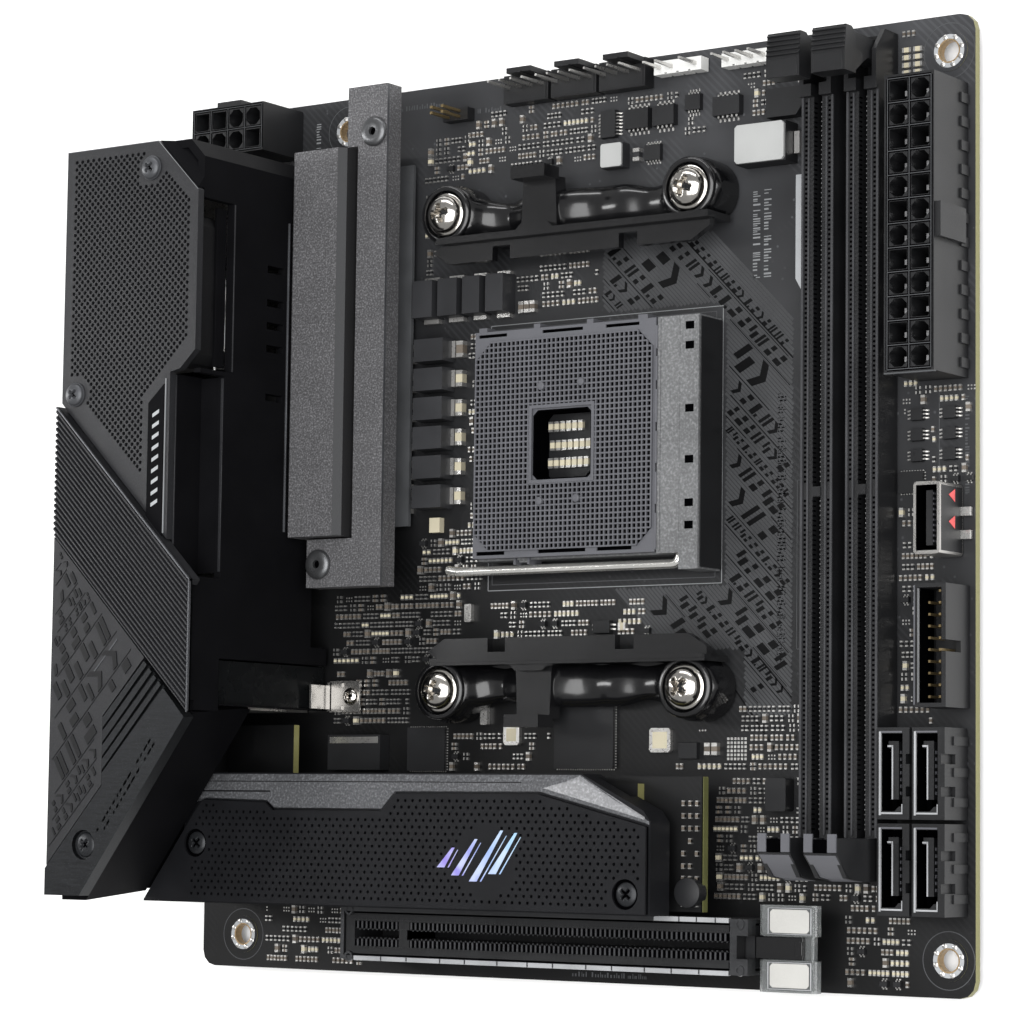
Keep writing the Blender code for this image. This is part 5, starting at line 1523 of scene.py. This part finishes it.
# x0, x1, y0, y1 from the port's low corner, then z0, z1 and the finish
DRIVE_PORT_PARTS = (
    (0.42, 0.78, 0.7, 14.9, 8.25, 8.62, HIGHLIGHT_PAINT), (0.42, 0.8, 0.7, 14.9, 3.0, 8.25, SHADE_PAINT),
    (0.5, 4.8, 14.7, 15.0, 6.0, 8.56, GREY), (0.5, 4.8, 0.9, 1.2, 6.0, 8.56, HIGHLIGHT_PAINT),
    (4.75, 4.9, 0.9, 2.6, 3.0, 8.6, HIGHLIGHT_PAINT), (2.42, 2.66, 3.4, 12.6, 7.2, 7.75, HIGHLIGHT_PAINT),
    (2.42, 2.66, 3.4, 12.6, 3.0, 7.2, SHADE_PAINT), (1.6, 2.5, 12.3, 12.6, 6.0, 7.75, HIGHLIGHT_PAINT),
    (1.78, 3.72, 12.1, 13.3, 7.48, 7.66, MOULD), (0.8, 1.76, 0.95, 14.6, 3.0, 4.6, SHADE_PAINT),
    (3.84, 4.9, 0.95, 14.6, 3.0, 4.6, SHADE_PAINT), (1.76, 3.84, 13.36, 14.6, 3.0, 4.6, SHADE_PAINT),
)


def make_front_ports():
    """Rims with painted highlight, walls and hollows with painted shade, and tongues of the drive ports;
    header pins and the panel port's shell.
    """
    shape = Shape()
    for number in (1, 2, 3, 4):
        low, _ = node_box(f"drive_port_{number}")
        x = low.x
        y = low.y
        for x0, x1, y0, y1, z0, z1, finish in DRIVE_PORT_PARTS:
            shape.box(x + x0, x + x1, y + y0, y + y1, z0, z1, finish)
        for i in range(7):
            shape.box(x + 3.68, x + 3.8, y + 4.2 + i * 1.15, y + 4.75 + i * 1.15, 2.0, 7.0, GREY)
        for dy in (2.2, 7.3, 12.6):
            shape.box(x + 6.15, x + 6.5, y + dy, y + dy + 1.5, 0.4, 5.6, MOULD)
    # shrouded header: two rows of ten pins with one missing
    for i in range(2):
        for j in range(10):
            if (i, j) != (0, 9):
                x = 164.9 + i * 2.0
                y = 50.8 + j * 2.0
                shape.box(x, x + 0.42, y, y + 0.42, 2.0, 7.2, PIN)
    shape.box(163.05, 163.3, 49.6, 69.9, 8.85, 9.05, GREY)
    # a line of painted highlight on the shroud's inner wall, with painted shade below it
    shape.box(163.62, 163.78, 50.0, 69.4, 8.3, 8.8, HIGHLIGHT_PAINT)
    shape.box(163.62, 163.8, 50.0, 69.4, 3.0, 8.3, SHADE_PAINT)
    # panel port: black walls and floor that paint the shade inside it, the tongue's contacts, tabs and two
    # printed triangles
    shape.boxes(SHADE_PAINT, (163.4, 163.5, 75.8, 87.0, 2.0, 8.8), (167.3, 167.4, 75.8, 87.0, 2.0, 8.8),
                (163.4, 167.4, 75.8, 75.9, 2.0, 8.8), (163.4, 167.4, 86.9, 87.0, 2.0, 8.8),
                (163.4, 167.4, 75.8, 87.0, 2.0, 2.06))
    shape.boxes(MOULD, (164.94, 166.16, 76.7, 86.1, 2.0, 8.08), (167.88, 167.93, 75.8, 87.0, 0.6, 8.3))
    for i in range(10):
        for x0, x1 in ((164.84, 164.96), (166.14, 166.26)):
            shape.box(x0, x1, 77.3 + i * 0.9, 77.65 + i * 0.9, 3.0, 7.9, GREY)
    for y in (78.2, 82.2):
        shape.box(167.8, 169.7, y, y + 1.5, 0.2, 1.2, TAB)
    for y in (79.8, 84.4):
        shape.prism([(y, 3.4), (y + 2.2, 3.4), (y + 1.1, 5.6)], 167.9, 168.0, "X", finish=RED)
    for y0, y1 in ((76.2, 78.2), (79.6, 82.0), (83.2, 85.2)):
        shape.box(162.86, 162.95, y0, y1, 4.6, 8.4, GREY)
    # fan header pins, then light header pins with one left out
    for x0 in (72.4, 83.2, 94.0):
        for i in range(4):
            header_pin(shape, x0, i, 167.22, 167.2, 3.0, 10.2)
        shape.box(x0 + 0.4, x0 + 9.7, 164.4, 169.2, 3.2, 3.3, MOULD)
        shape.box(x0 + 7.4, x0 + 8.2, 168.3, 168.6, 3.0, 9.6, MOULD)
    for x0, y, present in ((105.9, 167.15, (0, 1, 3)), (120.4, 166.95, (0, 1, 2, 3))):
        for i in present:
            header_pin(shape, x0, i, y, y, 2.8, 8.6)
    build(shape, "front_port_detail", PORT_FINISHES, fix=False)


def header_pin(shape, x0, number, y, tip_y, low, high):
    """A square pin that narrows towards its tip, at its place in a header that starts at x0."""
    x = x0 + PIN_PITCH * (0.5 + number)
    shape.prism(rectangle(x - 0.32, x + 0.32, y - 0.32, y + 0.32), low, high, finish=TAB,
                top=rectangle(x - 0.2, x + 0.2, tip_y - 0.2, tip_y + 0.2))


# ---------------------------------------------------------------- rear cover
MESH_OUTLINE = [(-2.3, 107.4), (24.6, 80.5), (24.6, 111.8), (27.0, 112.3), (30.6, 115.7), (30.6, 145.8),
                (20.6, 156.0), (-2.3, 156.0)]
MESH_FIELD = [(-0.6, 111.5), (3.6, 106.2), (17.6, 92.0), (18.4, 92.0), (18.4, 107.0), (29.2, 117.6),
              (29.2, 144.2), (19.6, 154.2), (-0.6, 154.2)]
REAR_FACE = -2.3                 # x of the rear plate's outer face
ROOF = 44.0                      # the cover's highest face
MESH_TOP = 42.3
MESH_LOW = 40.7
MESH_STEP = 0.707                # half diagonal of the square hole pattern, whose pitch is 1 mm
MESH_HOLE = 0.4


def make_mesh_panel():
    """The panel over the fan, perforated on a diagonal grid of 1 mm pitch."""
    shape = Shape()
    screws = [(19.0, 150.9), (1.1, 108.9)]
    holes = [circle(x, y, 1.5, 16) for x, y in screws]
    columns = int(34 / MESH_STEP)
    lines = int(66 / MESH_STEP)
    for i in range(columns):
        for j in range(i % 2, lines, 2):
            x = -1.4 + i * MESH_STEP
            y = 90.2 + j * MESH_STEP
            clear = all(math.hypot(x - sx, y - sy) >= 3.4 for sx, sy in screws)
            if clear and inside(x, y, MESH_FIELD) and margin(x, y, MESH_FIELD) >= 0.35:
                holes.append(circle(x, y, MESH_HOLE, 6, 0.3))
    shape.plate(MESH_OUTLINE, holes, MESH_LOW, MESH_TOP, 0)
    # a plain raised strip beside the holes, with slanted ticks on it
    strip = [(19.6, 84.8), (23.4, 81.0), (23.4, 109.6), (19.6, 106.2)]
    shape.prism(strip, MESH_TOP, MESH_TOP + 0.22, finish=1)
    shape.box(23.6, 23.85, 81.6, 110.6, MESH_TOP, MESH_TOP + 0.18, 2)
    for k in range(9):
        y = 86.6 + k * 2.1
        shape.prism([(20.7, y), (22.3, y + 0.8), (22.3, y + 1.5), (20.7, y + 0.7)], MESH_TOP + 0.2,
                    MESH_TOP + 0.26, finish=3)
    # pale lines of painted highlight along the panel's outer edges
    rim = [(-2.25, 107.5), (-2.25, 155.95), (20.55, 155.95), (30.55, 145.8)]
    for (ax, ay), (bx, by) in zip(rim, rim[1:]):
        stroke(shape, ax, ay, bx, by, 0.1, 2, MESH_TOP + 0.06, MESH_TOP)
    build(shape, "mesh_panel", [cover_paint, cover_dark, grey_ink_and_highlight, silk_bright],
          replaces=("cover_mesh_panel",))


def make_ribbed_band():
    """Fine ribs that run along the slanting band, with a painted highlight along its upper edge and at its
    right end.
    """
    shape = Shape()
    left = REAR_FACE
    right = 31.7
    slope = -33.9 / 34.0
    pitch = 1.12                 # measured along y; 0.8 mm across the ribs
    base = 43.0

    def at(x, down):
        return (x, 106.7 + (x - left) * slope - down)

    def strip(first, last):
        """The outline of a strip of the band, between two distances from its upper edge."""
        return [at(left, first), at(left, last), at(right, last), at(right, first)]

    profile = ((0.0, 0.62), (0.22, 0.03), (0.62, 0.03), (0.86, 0.62))    # of a rib: along y, below the roof
    sides = ((0, 1, 5, 4), (1, 2, 6, 5), (2, 3, 7, 6), (3, 2, 1, 0), (4, 5, 6, 7), (0, 4, 7, 3))
    down = 0.55
    while down < 23.6:
        shape.add([(*at(x, down + step), ROOF - drop) for x in (left + 0.02, right - 0.35)
                   for step, drop in profile], sides)
        down += pitch
    shape.prism(strip(0.0, 24.6), base, ROOF - 0.6, finish=0)
    flange = [(left, 106.7), (left, 104.9), (30.9, 71.8), (right, 72.8)]
    shape.prism(flange, 40.8, ROOF - 0.5, finish=0)
    shape.prism(strip(0.0, 0.42), base, ROOF - 0.02, finish=1)
    shape.prism(strip(24.3, 24.6), base, ROOF - 0.3, finish=0)
    shape.box(right - 0.3, right, at(right, 24.5)[1], at(right, 0.0)[1], base, ROOF - 0.1, 1)
    build(shape, "ribbed_band", [cover_paint, pale_and_highlight_grey],
          replaces=("cover_ribbed_band",))


def make_lower_plate_relief():
    """Abstract raised strokes on the lower plate: slanted bars, chevrons and fine parallel lines.

    They lie along a and b, axes that are turned against the board's."""
    shape = Shape()
    plate = [(-2.1, 80.9), (-2.1, 21.2), (10.6, 35.4), (10.6, 48.2), (19.9, 58.4)]
    dice = random.Random(53)
    turn = math.radians(47)
    c = math.cos(turn)
    s = math.sin(turn)
    top = 43.6

    def spot(a, b):
        return (-4.0 + a * c - b * s, 20.0 + a * s + b * c)

    def bar(a0, a1, b0, b1, skew=0.0, rise=0.14, finish=0):
        corners = [spot(a0, b0), spot(a1, b0), spot(a1 + skew, b1), spot(a0 + skew, b1)]
        if all(inside(x, y, plate) and margin(x, y, plate) > 0.3 for x, y in corners):
            shape.prism(corners, top - 0.05, top + rise, finish=finish)

    b = -14.0
    while b < 40.0:
        tall = dice.choice((1.2, 2.0, 3.0, 4.2))
        thick = tall * 0.24
        a = dice.uniform(0.0, 1.0)
        while a < 62.0:
            wide = tall * dice.uniform(0.6, 1.0)
            kind = dice.randrange(5)
            if b > 24.0 and dice.random() < 0.35:
                a += wide
                continue
            if kind == 0:
                for step in (0.0, 0.6):
                    bar(a + wide * step * 0.6, a + wide * (0.6 + step * 0.6), b + tall * step,
                        b + tall * (step + 0.36), thick * 0.3)
            elif kind == 1:
                bar(a, a + thick, b, b + tall, 0.3 * tall)
                bar(a + wide * 0.5, a + wide * 0.5 + thick, b, b + tall, 0.3 * tall)
            elif kind == 2:
                bar(a, a + thick * 1.3, b, b + tall * 0.5, wide * 0.5)
                bar(a + wide * 0.5, a + wide * 0.5 + thick * 1.3, b + tall * 0.5, b + tall, -wide * 0.5)
            elif kind == 3:
                bar(a, a + wide * 0.8, b, b + tall * 0.4, 0.1 * tall)
                bar(a + wide * 0.5, a + wide, b + tall * 0.58, b + tall, 0.1 * tall)
            else:
                bar(a, a + wide * 0.4, b + tall * 0.3, b + tall, 0.2 * tall)
                bar(a + wide * 0.55, a + wide * 0.9, b, b + tall * 0.7, 0.2 * tall)
            a += wide + tall * dice.uniform(0.25, 0.45)
        for c0 in range(0, 60, 2):
            bar(c0, c0 + 2, b - 0.45, b - 0.3, 0.0, 0.08)
        b += tall + dice.uniform(0.7, 1.0)
    for k in range(5):
        bar(38.0 - k, 52.0 - k * 2.2, 10.0 + k * 1.3, 10.22 + k * 1.3, 0.0, 0.1, 1)
    build(shape, "lower_plate_relief", [cover_ink, pale_and_highlight_grey], fix=False)


def make_bar_detail():
    """Two rows of shallow plain marks along the slanting bar."""
    shape = Shape()
    x0, y0 = 6.4, 14.2           # the bar's near corner
    turn = math.atan2(47.4 - y0, 31.1 - x0)
    c = math.cos(turn)
    s = math.sin(turn)
    dice = random.Random(8)
    a = 12.0
    while a < 33.0:
        run = dice.uniform(0.5, 1.4)
        for b0, b1 in ((2.5, 2.9), (3.7, 4.1)):
            if dice.random() < 0.75:
                corners = [(x0 + x * c - y * s, y0 + x * s + y * c) for x, y in
                           ((a, b0), (a + run, b0), (a + run + 0.3, b1), (a + 0.3, b1))]
                shape.prism(corners, ROOF - 0.02, ROOF)
        a += run + dice.uniform(0.3, 0.8)
    build(shape, "bar_marks", [cover_ink], fix=False)


def make_wall_detail():
    """Lips and strips on the cover's side wall and round its openings."""
    shape = Shape()
    # long thin lips on the front wall; the lower one's pale colour is a painted highlight along the wall's
    # lower edge
    shape.box(30.35, 30.75, 83.6, 143.4, 14.9, 15.2)
    shape.box(30.38, 30.62, 112.6, 144.4, 31.2, 31.5, 1)
    # upright lip at the recess's near edge, and its slanting floor line
    shape.box(24.4, 24.75, 75.0, 111.4, 40.3, 40.62, 1)
    shape.box(29.6, 30.2, 74.8, 111.2, 33.1, 33.5, 1)
    # grey strip inside the fan's window and the edge beyond it
    shape.box(28.2, 28.9, 113.4, 143.6, 31.9, 34.6, 2)
    # inner frame of the window in front of the wireless module
    shape.box(29.6, 30.3, 49.9, 50.2, 1.0, 33.0, 2)
    build(shape, "wall_lips", [pale_and_highlight_grey, cover_paint, cover_dark], bevel=0.05)


def make_fan():
    """The small fan's wheel under the mesh: nine twisted blades on a hub."""
    x, y = node_middle("fan_rotor")
    shape = Shape()
    hub = [(0.0, 40.15), (4.2, 40.15), (5.0, 40.0), (5.5, 39.4), (5.6, 38.6), (5.6, 34.9), (0.0, 34.9)]
    shape.lathe(hub, x, y, 0, 40)
    shape.lathe([(0.0, 40.18), (3.4, 40.18), (3.6, 40.16)], x, y, 1, 40)
    blades = 9
    for k in range(blades):
        start = 2 * math.pi * k / blades
        rows = []
        for r in range(7):
            radius = 5.3 + (13.6 - 5.3) * r / 6
            sweep = 0.035 * r
            top = []
            bottom = []
            for t in range(7):
                share = t / 6
                angle = start + sweep + (share - 0.5) * 0.5 * (1.15 - 0.05 * r)
                z = 35.6 + 3.5 * share ** 0.8
                px = x + radius * math.cos(angle)
                py = y + radius * math.sin(angle)
                thin = 0.16 + 0.25 * math.sin(math.pi * share)
                top.append((px, py, z + thin))
                bottom.append((px, py, z - 0.1))
            rows.append(top + bottom[::-1])
        shape.loft(rows)
    build(shape, "fan_wheel", [soft_black, dim_grey], body="fan_rotor",
          replaces=("fan_rotor",), smooth=50)


# ---------------------------------------------------------------- power-stage heatsinks
def make_heatsink_detail():
    """Painted highlight along the heatsink bar's upper edge, painted shade on the block's slanted edge beside
    the bar, and the pad that shows under the blocks.
    """
    shape = Shape()
    # a pale line of painted highlight along the bar's upper edge
    shape.box(51.35, 51.52, 73.1, 169.1, 11.4, 11.98, 0)
    # a dark strip of painted shade on the block's slanted edge, in the gap beside the bar
    shape.prism([(42.0, 14.86), (43.28, 13.66), (43.36, 13.74), (42.05, 14.96)], 82.7, 157.1, "Y", finish=2)
    shape.box(44.9, 50.6, 85.0, 155.0, 1.4, 2.15, 1)
    build(shape, "heatsink_edges", [pale_and_highlight_grey, dim_grey, ferrite_and_shade_grey])


# ---------------------------------------------------------------- drive heatsink


def make_drive_cover():
    """The dark cover plate with rows of small pits, the pale strip beside it, its lit mark, and the
    parts on the raised board that show beyond the heatsink's end."""
    outline = [(2.0, 13.2), (116.8, 13.2), (116.8, 28.4), (94.0, 33.9), (61.9, 33.8), (58.9, 30.6),
               (33.4, 30.6), (31.7, 32.0), (16.4, 32.4), (14.3, 30.0)]
    screws = [(112.6, 16.6), (14.7, 24.2)]
    top = 20.6
    shape = Shape()
    holes = [circle(x, y, 2.7, 20) for x, y in screws]
    pitch = 1.66
    row = 0
    y = 14.6
    while y < 33.2:
        x = 14.0 + (pitch / 2 if row % 2 else 0.0)
        while x < 115.6:
            fine = inside(x, y, outline) and margin(x, y, outline) > 0.9
            fine = fine and math.hypot(x - 83.0, y - 22.0) >= 6.6        # no pits under the mark
            if fine and all(math.hypot(x - sx, y - sy) > 3.6 for sx, sy in screws):
                holes.append(circle(x, y, 0.33, 6, 0.5))
            x += pitch
        y += 1.2
        row += 1
    shape.plate(outline, holes, top - 0.5, top, 0)
    # a black body under the plate paints the shade in its pits
    shape.prism(outline, 19.75, top - 0.5, finish=1)
    build(shape, "drive_cover", [cover_slate, shade_black],
          replaces=("drive_heatsink_cover",))

    low = 19.5
    strip = Shape()
    strip.prism([(11.2, 31.2), (16.6, 32.7), (31.6, 32.3), (33.4, 30.9), (58.8, 30.9), (61.8, 34.1),
                 (94.0, 34.2), (116.9, 28.7), (116.9, 29.3), (102.4, 37.4), (11.2, 37.4)], low, 19.95,
                top=[(11.3, 31.4), (16.6, 32.9), (31.6, 32.5), (33.4, 31.1), (58.7, 31.1), (61.7, 34.3),
                     (94.0, 34.4), (116.4, 29.1), (115.4, 29.9), (102.1, 36.2), (11.3, 36.2)])
    # a slanted chamfer whose pale colour is partly its bare metal and partly a painted highlight
    strip.prism([(93.0, 34.9), (116.2, 29.4), (115.9, 30.1), (102.3, 37.3)], low, 20.12, finish=2,
                top=[(95.0, 35.0), (115.8, 29.8), (115.4, 30.2), (102.2, 36.6)])
    strip.box(14.0, 32.4, 34.0, 34.3, 19.9, 19.99, 1)
    strip.box(14.0, 90.0, 35.9, 36.1, 19.9, 19.97, 1)
    build(strip, "drive_strip", [drive_metal, cover_ink, chamfer_metal_and_highlight], bevel=0.06)

    mark = Shape()
    # four slanted bars, each with a thin line beside it
    for x, y, rise in ((72.0, 20.6, 3.6), (75.2, 19.2, 6.6), (79.2, 18.2, 9.2), (83.4, 19.6, 7.4)):
        lean = rise * 0.62
        mark.prism([(x, y), (x + 1.7, y), (x + 1.7 + lean, y + rise), (x + 1.1 + lean, y + rise)], top,
                   top + 0.06)
        mark.prism([(x + 2.4, y), (x + 2.7, y), (x + 2.5 + lean, y + rise * 0.9),
                    (x + 2.35 + lean, y + rise * 0.9)], top, top + 0.05)
    build(mark, "drive_mark", [emblem])

    face = 10.5                  # the raised board's upper face
    raised = Shape()
    dice = random.Random(77)
    for y in (15.0, 17.2, 19.4, 21.6, 23.8, 26.0, 28.2, 30.4, 32.6):
        for x in (118.4, 119.8, 121.2):
            if dice.random() < 0.8:
                raised.box(x - 0.3, x + 0.3, y - 0.5, y + 0.5, face, face + 0.4, 1)
                raised.box(x - 0.3, x + 0.3, y - 0.28, y + 0.28, face, face + 0.42, 2)
    raised.lathe([(2.6, 9.9), (2.6, 12.4), (2.2, 12.7), (0, 12.7)], 120.2, 17.0, 0, 28)
    raised.box(122.1, 122.42, 13.7, 37.2, 8.95, face, 3)
    build(raised, "drive_board_parts", [chip_black, solder, tan_ceramic, laminate])


# ---------------------------------------------------------------- wireless module and its bracket
def make_wireless_detail():
    """The bright foot bracket and its screw, in front of the smoky film."""
    shape = Shape()
    shape.boxes(0, (31.8, 39.0, 49.6, 55.6, 0.9, 1.5), (30.8, 31.3, 50.2, 54.8, 0.9, 6.6),
                (31.2, 32.2, 49.8, 55.4, 0.9, 1.5))
    phillips_head(shape, 37.0, 52.6, 1.5, 1.7, 1.1, 2, 1)
    shape.boxes(0, (33.4, 35.0, 50.0, 50.8, 1.5, 1.9), (33.4, 35.0, 54.4, 55.2, 1.5, 1.9))
    build(shape, "module_foot", [port_shell, shade_black, chrome], bevel=0.08, fix=False)


# ---------------------------------------------------------------- rear ports
def make_rear_detail():
    """Tongues, contacts, rings and threads in the rear ports."""
    shape = Shape()
    rear = REAR_FACE
    for centre, z in ((126.5, 1.7), (126.5, 9.6), (100.0, 1.7), (81.25, 1.7), (81.25, 9.0)):
        shape.box(rear + 0.8, rear + 12.9, centre - 5.4, centre + 5.4, z + 2.4, z + 4.1, 0)
        for i in range(4):
            y = centre - 3.6 + i * 2.4
            shape.box(rear + 1.2, rear + 9.0, y - 0.5, y + 0.5, z + 2.25, z + 2.42, 1)
    shape.box(rear + 1.0, rear + 6.9, 96.9, 103.1, 11.6, 12.3, 0)
    for z in (4.4, 11.8):
        shape.box(rear + 1.2, rear + 10.9, 139.8, 150.2, z, z + 0.9, 0)
    for i in range(8):
        y = 77.2 + i * 1.16
        spring = [(rear + 3.0, 25.6), (rear + 11.5, 22.0), (rear + 11.5, 22.4), (rear + 3.0, 26.0)]
        shape.prism(spring, y, y + 0.4, "Y", finish=1)
    shape.boxes(4, (rear + 0.1, rear + 0.4, 75.4, 77.2, 27.2, 28.6),
                (rear + 0.1, rear + 0.4, 85.4, 87.2, 27.2, 28.6))
    for z, finish in ((5.9, 3), (16.6, 5), (27.3, 6)):
        shape.lathe([(1.86, rear + 0.9), (1.86, rear - 0.12), (3.2, rear - 0.12), (3.4, rear + 0.1),
                     (3.4, rear + 0.2)],
                    36.75, z, finish, 32, "X")
    # threaded antenna posts and their nuts
    for z in (10.0, 24.0):
        profile = [(3.0, -1.2)]
        x = -1.4
        while x > -7.0:
            profile += [(3.12, x), (2.9, x - 0.2)]
            x -= 0.4
        profile += [(2.5, -7.45), (2.25, -7.4), (2.25, -3.0)]
        shape.lathe(profile, 53.7, z, 1, 40, "X")
        shape.prism(circle(53.7, z, 4.4, 6), rear, -1.4, "X", finish=2)
    build(shape, "rear_port_detail", [satin_black, gold, steel, pink_ring, amber, green_ring, blue_ring],
          fix=False)


# ---------------------------------------------------------------- underside
def make_underside():
    """Solder joints, lands and small parts on the board's lower face."""
    shape = Shape()
    face = BOARD_FACE

    def joint(x, y, radius=0.55, tall=0.9):
        cone = [(radius, face), (radius * 0.75, face - tall * 0.45), (radius * 0.3, face - tall),
                (0, face - tall)]
        shape.lathe(cone, x, y, 0, 8)

    for x in (142.9, 151.9):
        y = 28.4
        while y < 156.0:
            joint(x - 0.95, y, 0.3, 0.6)
            joint(x + 0.95, y + 0.42, 0.3, 0.6)
            y += 1.7
    for i in range(82):
        x = 46.8 + i
        if not 56.5 < x < 59.5:
            joint(x, 6.5 if i % 2 else 6.0, 0.3, 0.6)
            joint(x, 9.1 if i % 2 else 9.6, 0.3, 0.6)
    # x0, y0, columns, rows, pitch along x and y, then a joint's radius and height: power headers,
    # shrouded header, fan and light headers, drive ports
    fields = [(162.0, 108.8, 1, 12, 4.2, 4.2, 0.9, 1.6), (166.2, 108.7, 1, 12, 4.2, 4.2, 0.9, 1.6),
              (6.4, 162.0, 4, 2, 4.3, 4.3, 0.9, 1.6), (165.1, 51.0, 2, 10, 2.0, 2.0, 0.45, 1.2)]
    fields += [(x0 + PIN_PITCH / 2, 167.2, 4, 1, PIN_PITCH, 0, 0.5, 1.2)
               for x0 in (72.4, 83.2, 94.0, 105.9, 120.4)]
    fields += [(x, y, 1, 7, 0, PIN_PITCH / 2, 0.35, 0.9) for x in (158.8, 165.5) for y in (17.9, 34.2)]
    for x0, y0, columns, rows, step_x, step_y, radius, tall in fields:
        for i in range(columns):
            for j in range(rows):
                joint(x0 + i * step_x, y0 + j * step_y, radius, tall)
    dice = random.Random(91)
    for x0, x1, y0, y1 in ((78.0, 101.0, 82.0, 115.0), (40.0, 56.0, 70.0, 130.0), (108.0, 135.0, 20.0, 50.0),
                           (20.0, 45.0, 20.0, 60.0)):
        y = y0
        while y < y1:
            x = x0
            while x < x1:
                if dice.random() < 0.6:
                    shape.box(x, x + 0.5, y, y + 1.0, face - 0.4, face, 1)
                    shape.box(x - 0.01, x + 0.51, y - 0.02, y + 0.25, face - 0.42, face, 0)
                    shape.box(x - 0.01, x + 0.51, y + 0.75, y + 1.02, face - 0.42, face, 0)
                x += dice.choice((0.9, 1.2, 2.4))
            y += 2.0
    build(shape, "underside_joints", [solder, tan_ceramic], fix=False)
    caps = Shape()
    for number in (1, 2, 3, 4):
        x, y = node_middle(f"cooler_screw_{number}")
        caps.lathe([(0, -3.78), (2.6, -3.78), (2.8, -3.6), (2.8, -3.3), (0, -3.3)], x, y, 0, 28)
    for x, y in ((70.0, 60.5), (109.5, 60.5), (70.0, 136.0), (109.5, 136.0)):
        caps.lathe([(0, -3.79), (1.6, -3.79), (1.8, -3.7), (1.8, -3.5)], x, y, 1, 24)
    build(caps, "backplate_studs", [steel, dark_steel])


# ---------------------------------------------------------------- everything in order
for make in (make_mount_lands, make_ink, make_art, make_power_stage_parts, make_chips, make_small_parts,
             make_pin_field, make_socket_trim, make_lever):
    make()
make_bracket("upper", 1)
make_bracket("lower", -1)
for make in (make_screws, make_power_cells, make_memory_detail, make_expansion_detail, make_expansion_latch,
             make_front_ports, make_mesh_panel, make_ribbed_band, make_lower_plate_relief, make_bar_detail,
             make_wall_detail, make_fan, make_heatsink_detail, make_drive_cover, make_wireless_detail,
             make_rear_detail, make_underside):
    make()


# ---------------------------------------------------------------- studio
def make_floor_material():
    g = Graph("studio_floor")
    slow = g.noise(120.0, 2.0)
    g.colour(g.mix(slow, (0.93, 0.93, 0.93), (0.97, 0.97, 0.97)))
    g.rough(g.ramp(slow, 0, 1, 0.75, 0.85))
    return g.material


def make_floor():
    """A pale floor just below the model."""
    half = 3.0
    z = CAD_BOX[0][2] - 0.0002
    mesh = bpy.data.meshes.new("studio_floor")
    mesh.from_pydata([(x, y, z) for x, y in rectangle(-half, half, -half, half)], [], [(0, 1, 2, 3)])
    mesh.materials.append(make_floor_material())
    floor = bpy.data.objects.new("studio_floor", mesh)
    bpy.context.scene.collection.objects.link(floor)


def make_light(name, spot, target, wide, tall, power):
    """A rectangular soft light at spot, turned towards target."""
    light = bpy.data.lights.new(name, "AREA")
    light.shape = "RECTANGLE"
    light.size = wide
    light.size_y = tall
    light.energy = power
    lamp = bpy.data.objects.new(name, light)
    lamp.location = spot
    aim = Vector(target) - Vector(spot)
    lamp.rotation_euler = aim.to_track_quat("-Z", "Y").to_euler()
    bpy.context.scene.collection.objects.link(lamp)


def make_studio():
    """Pale surroundings and three soft lights."""
    scene = bpy.context.scene
    world = bpy.data.worlds.new("studio_world")
    world.use_nodes = True
    background = world.node_tree.nodes["Background"]
    background.inputs["Color"].default_value = (1.0, 1.0, 1.0, 1.0)
    background.inputs["Strength"].default_value = 0.42
    scene.world = world
    make_light("overhead", (0.45, -0.05, 0.9), (0, 0, 0), 1.0, 1.2, 18.0)
    make_light("left_strip", (-0.75, 0.1, 0.32), (0, 0, 0.02), 0.12, 0.9, 3.0)
    make_light("upper_strip", (0.0, 0.8, 0.45), (0, 0, 0.02), 0.9, 0.15, 3.0)
    scene.view_settings.view_transform = "Standard"


def make_camera():
    """A long lens above the board, to the right of its middle."""
    right = (0.82039, 0.01232, -0.57167)
    up = (0.04195, 0.99578, 0.08167)
    back = (0.57026, -0.09098, 0.81641)
    spot = (0.35186, -0.05559, 0.5191)
    camera = bpy.data.cameras.new("studio_camera")
    camera.lens = 118.07
    camera.sensor_width = 36.0
    camera.clip_end = 10.0
    holder = bpy.data.objects.new("studio_camera", camera)
    holder.matrix_world = Matrix((*zip(right, up, back, spot), (0.0, 0.0, 0.0, 1.0)))
    bpy.context.scene.collection.objects.link(holder)
    bpy.context.scene.camera = holder


make_floor()
make_studio()
make_camera()
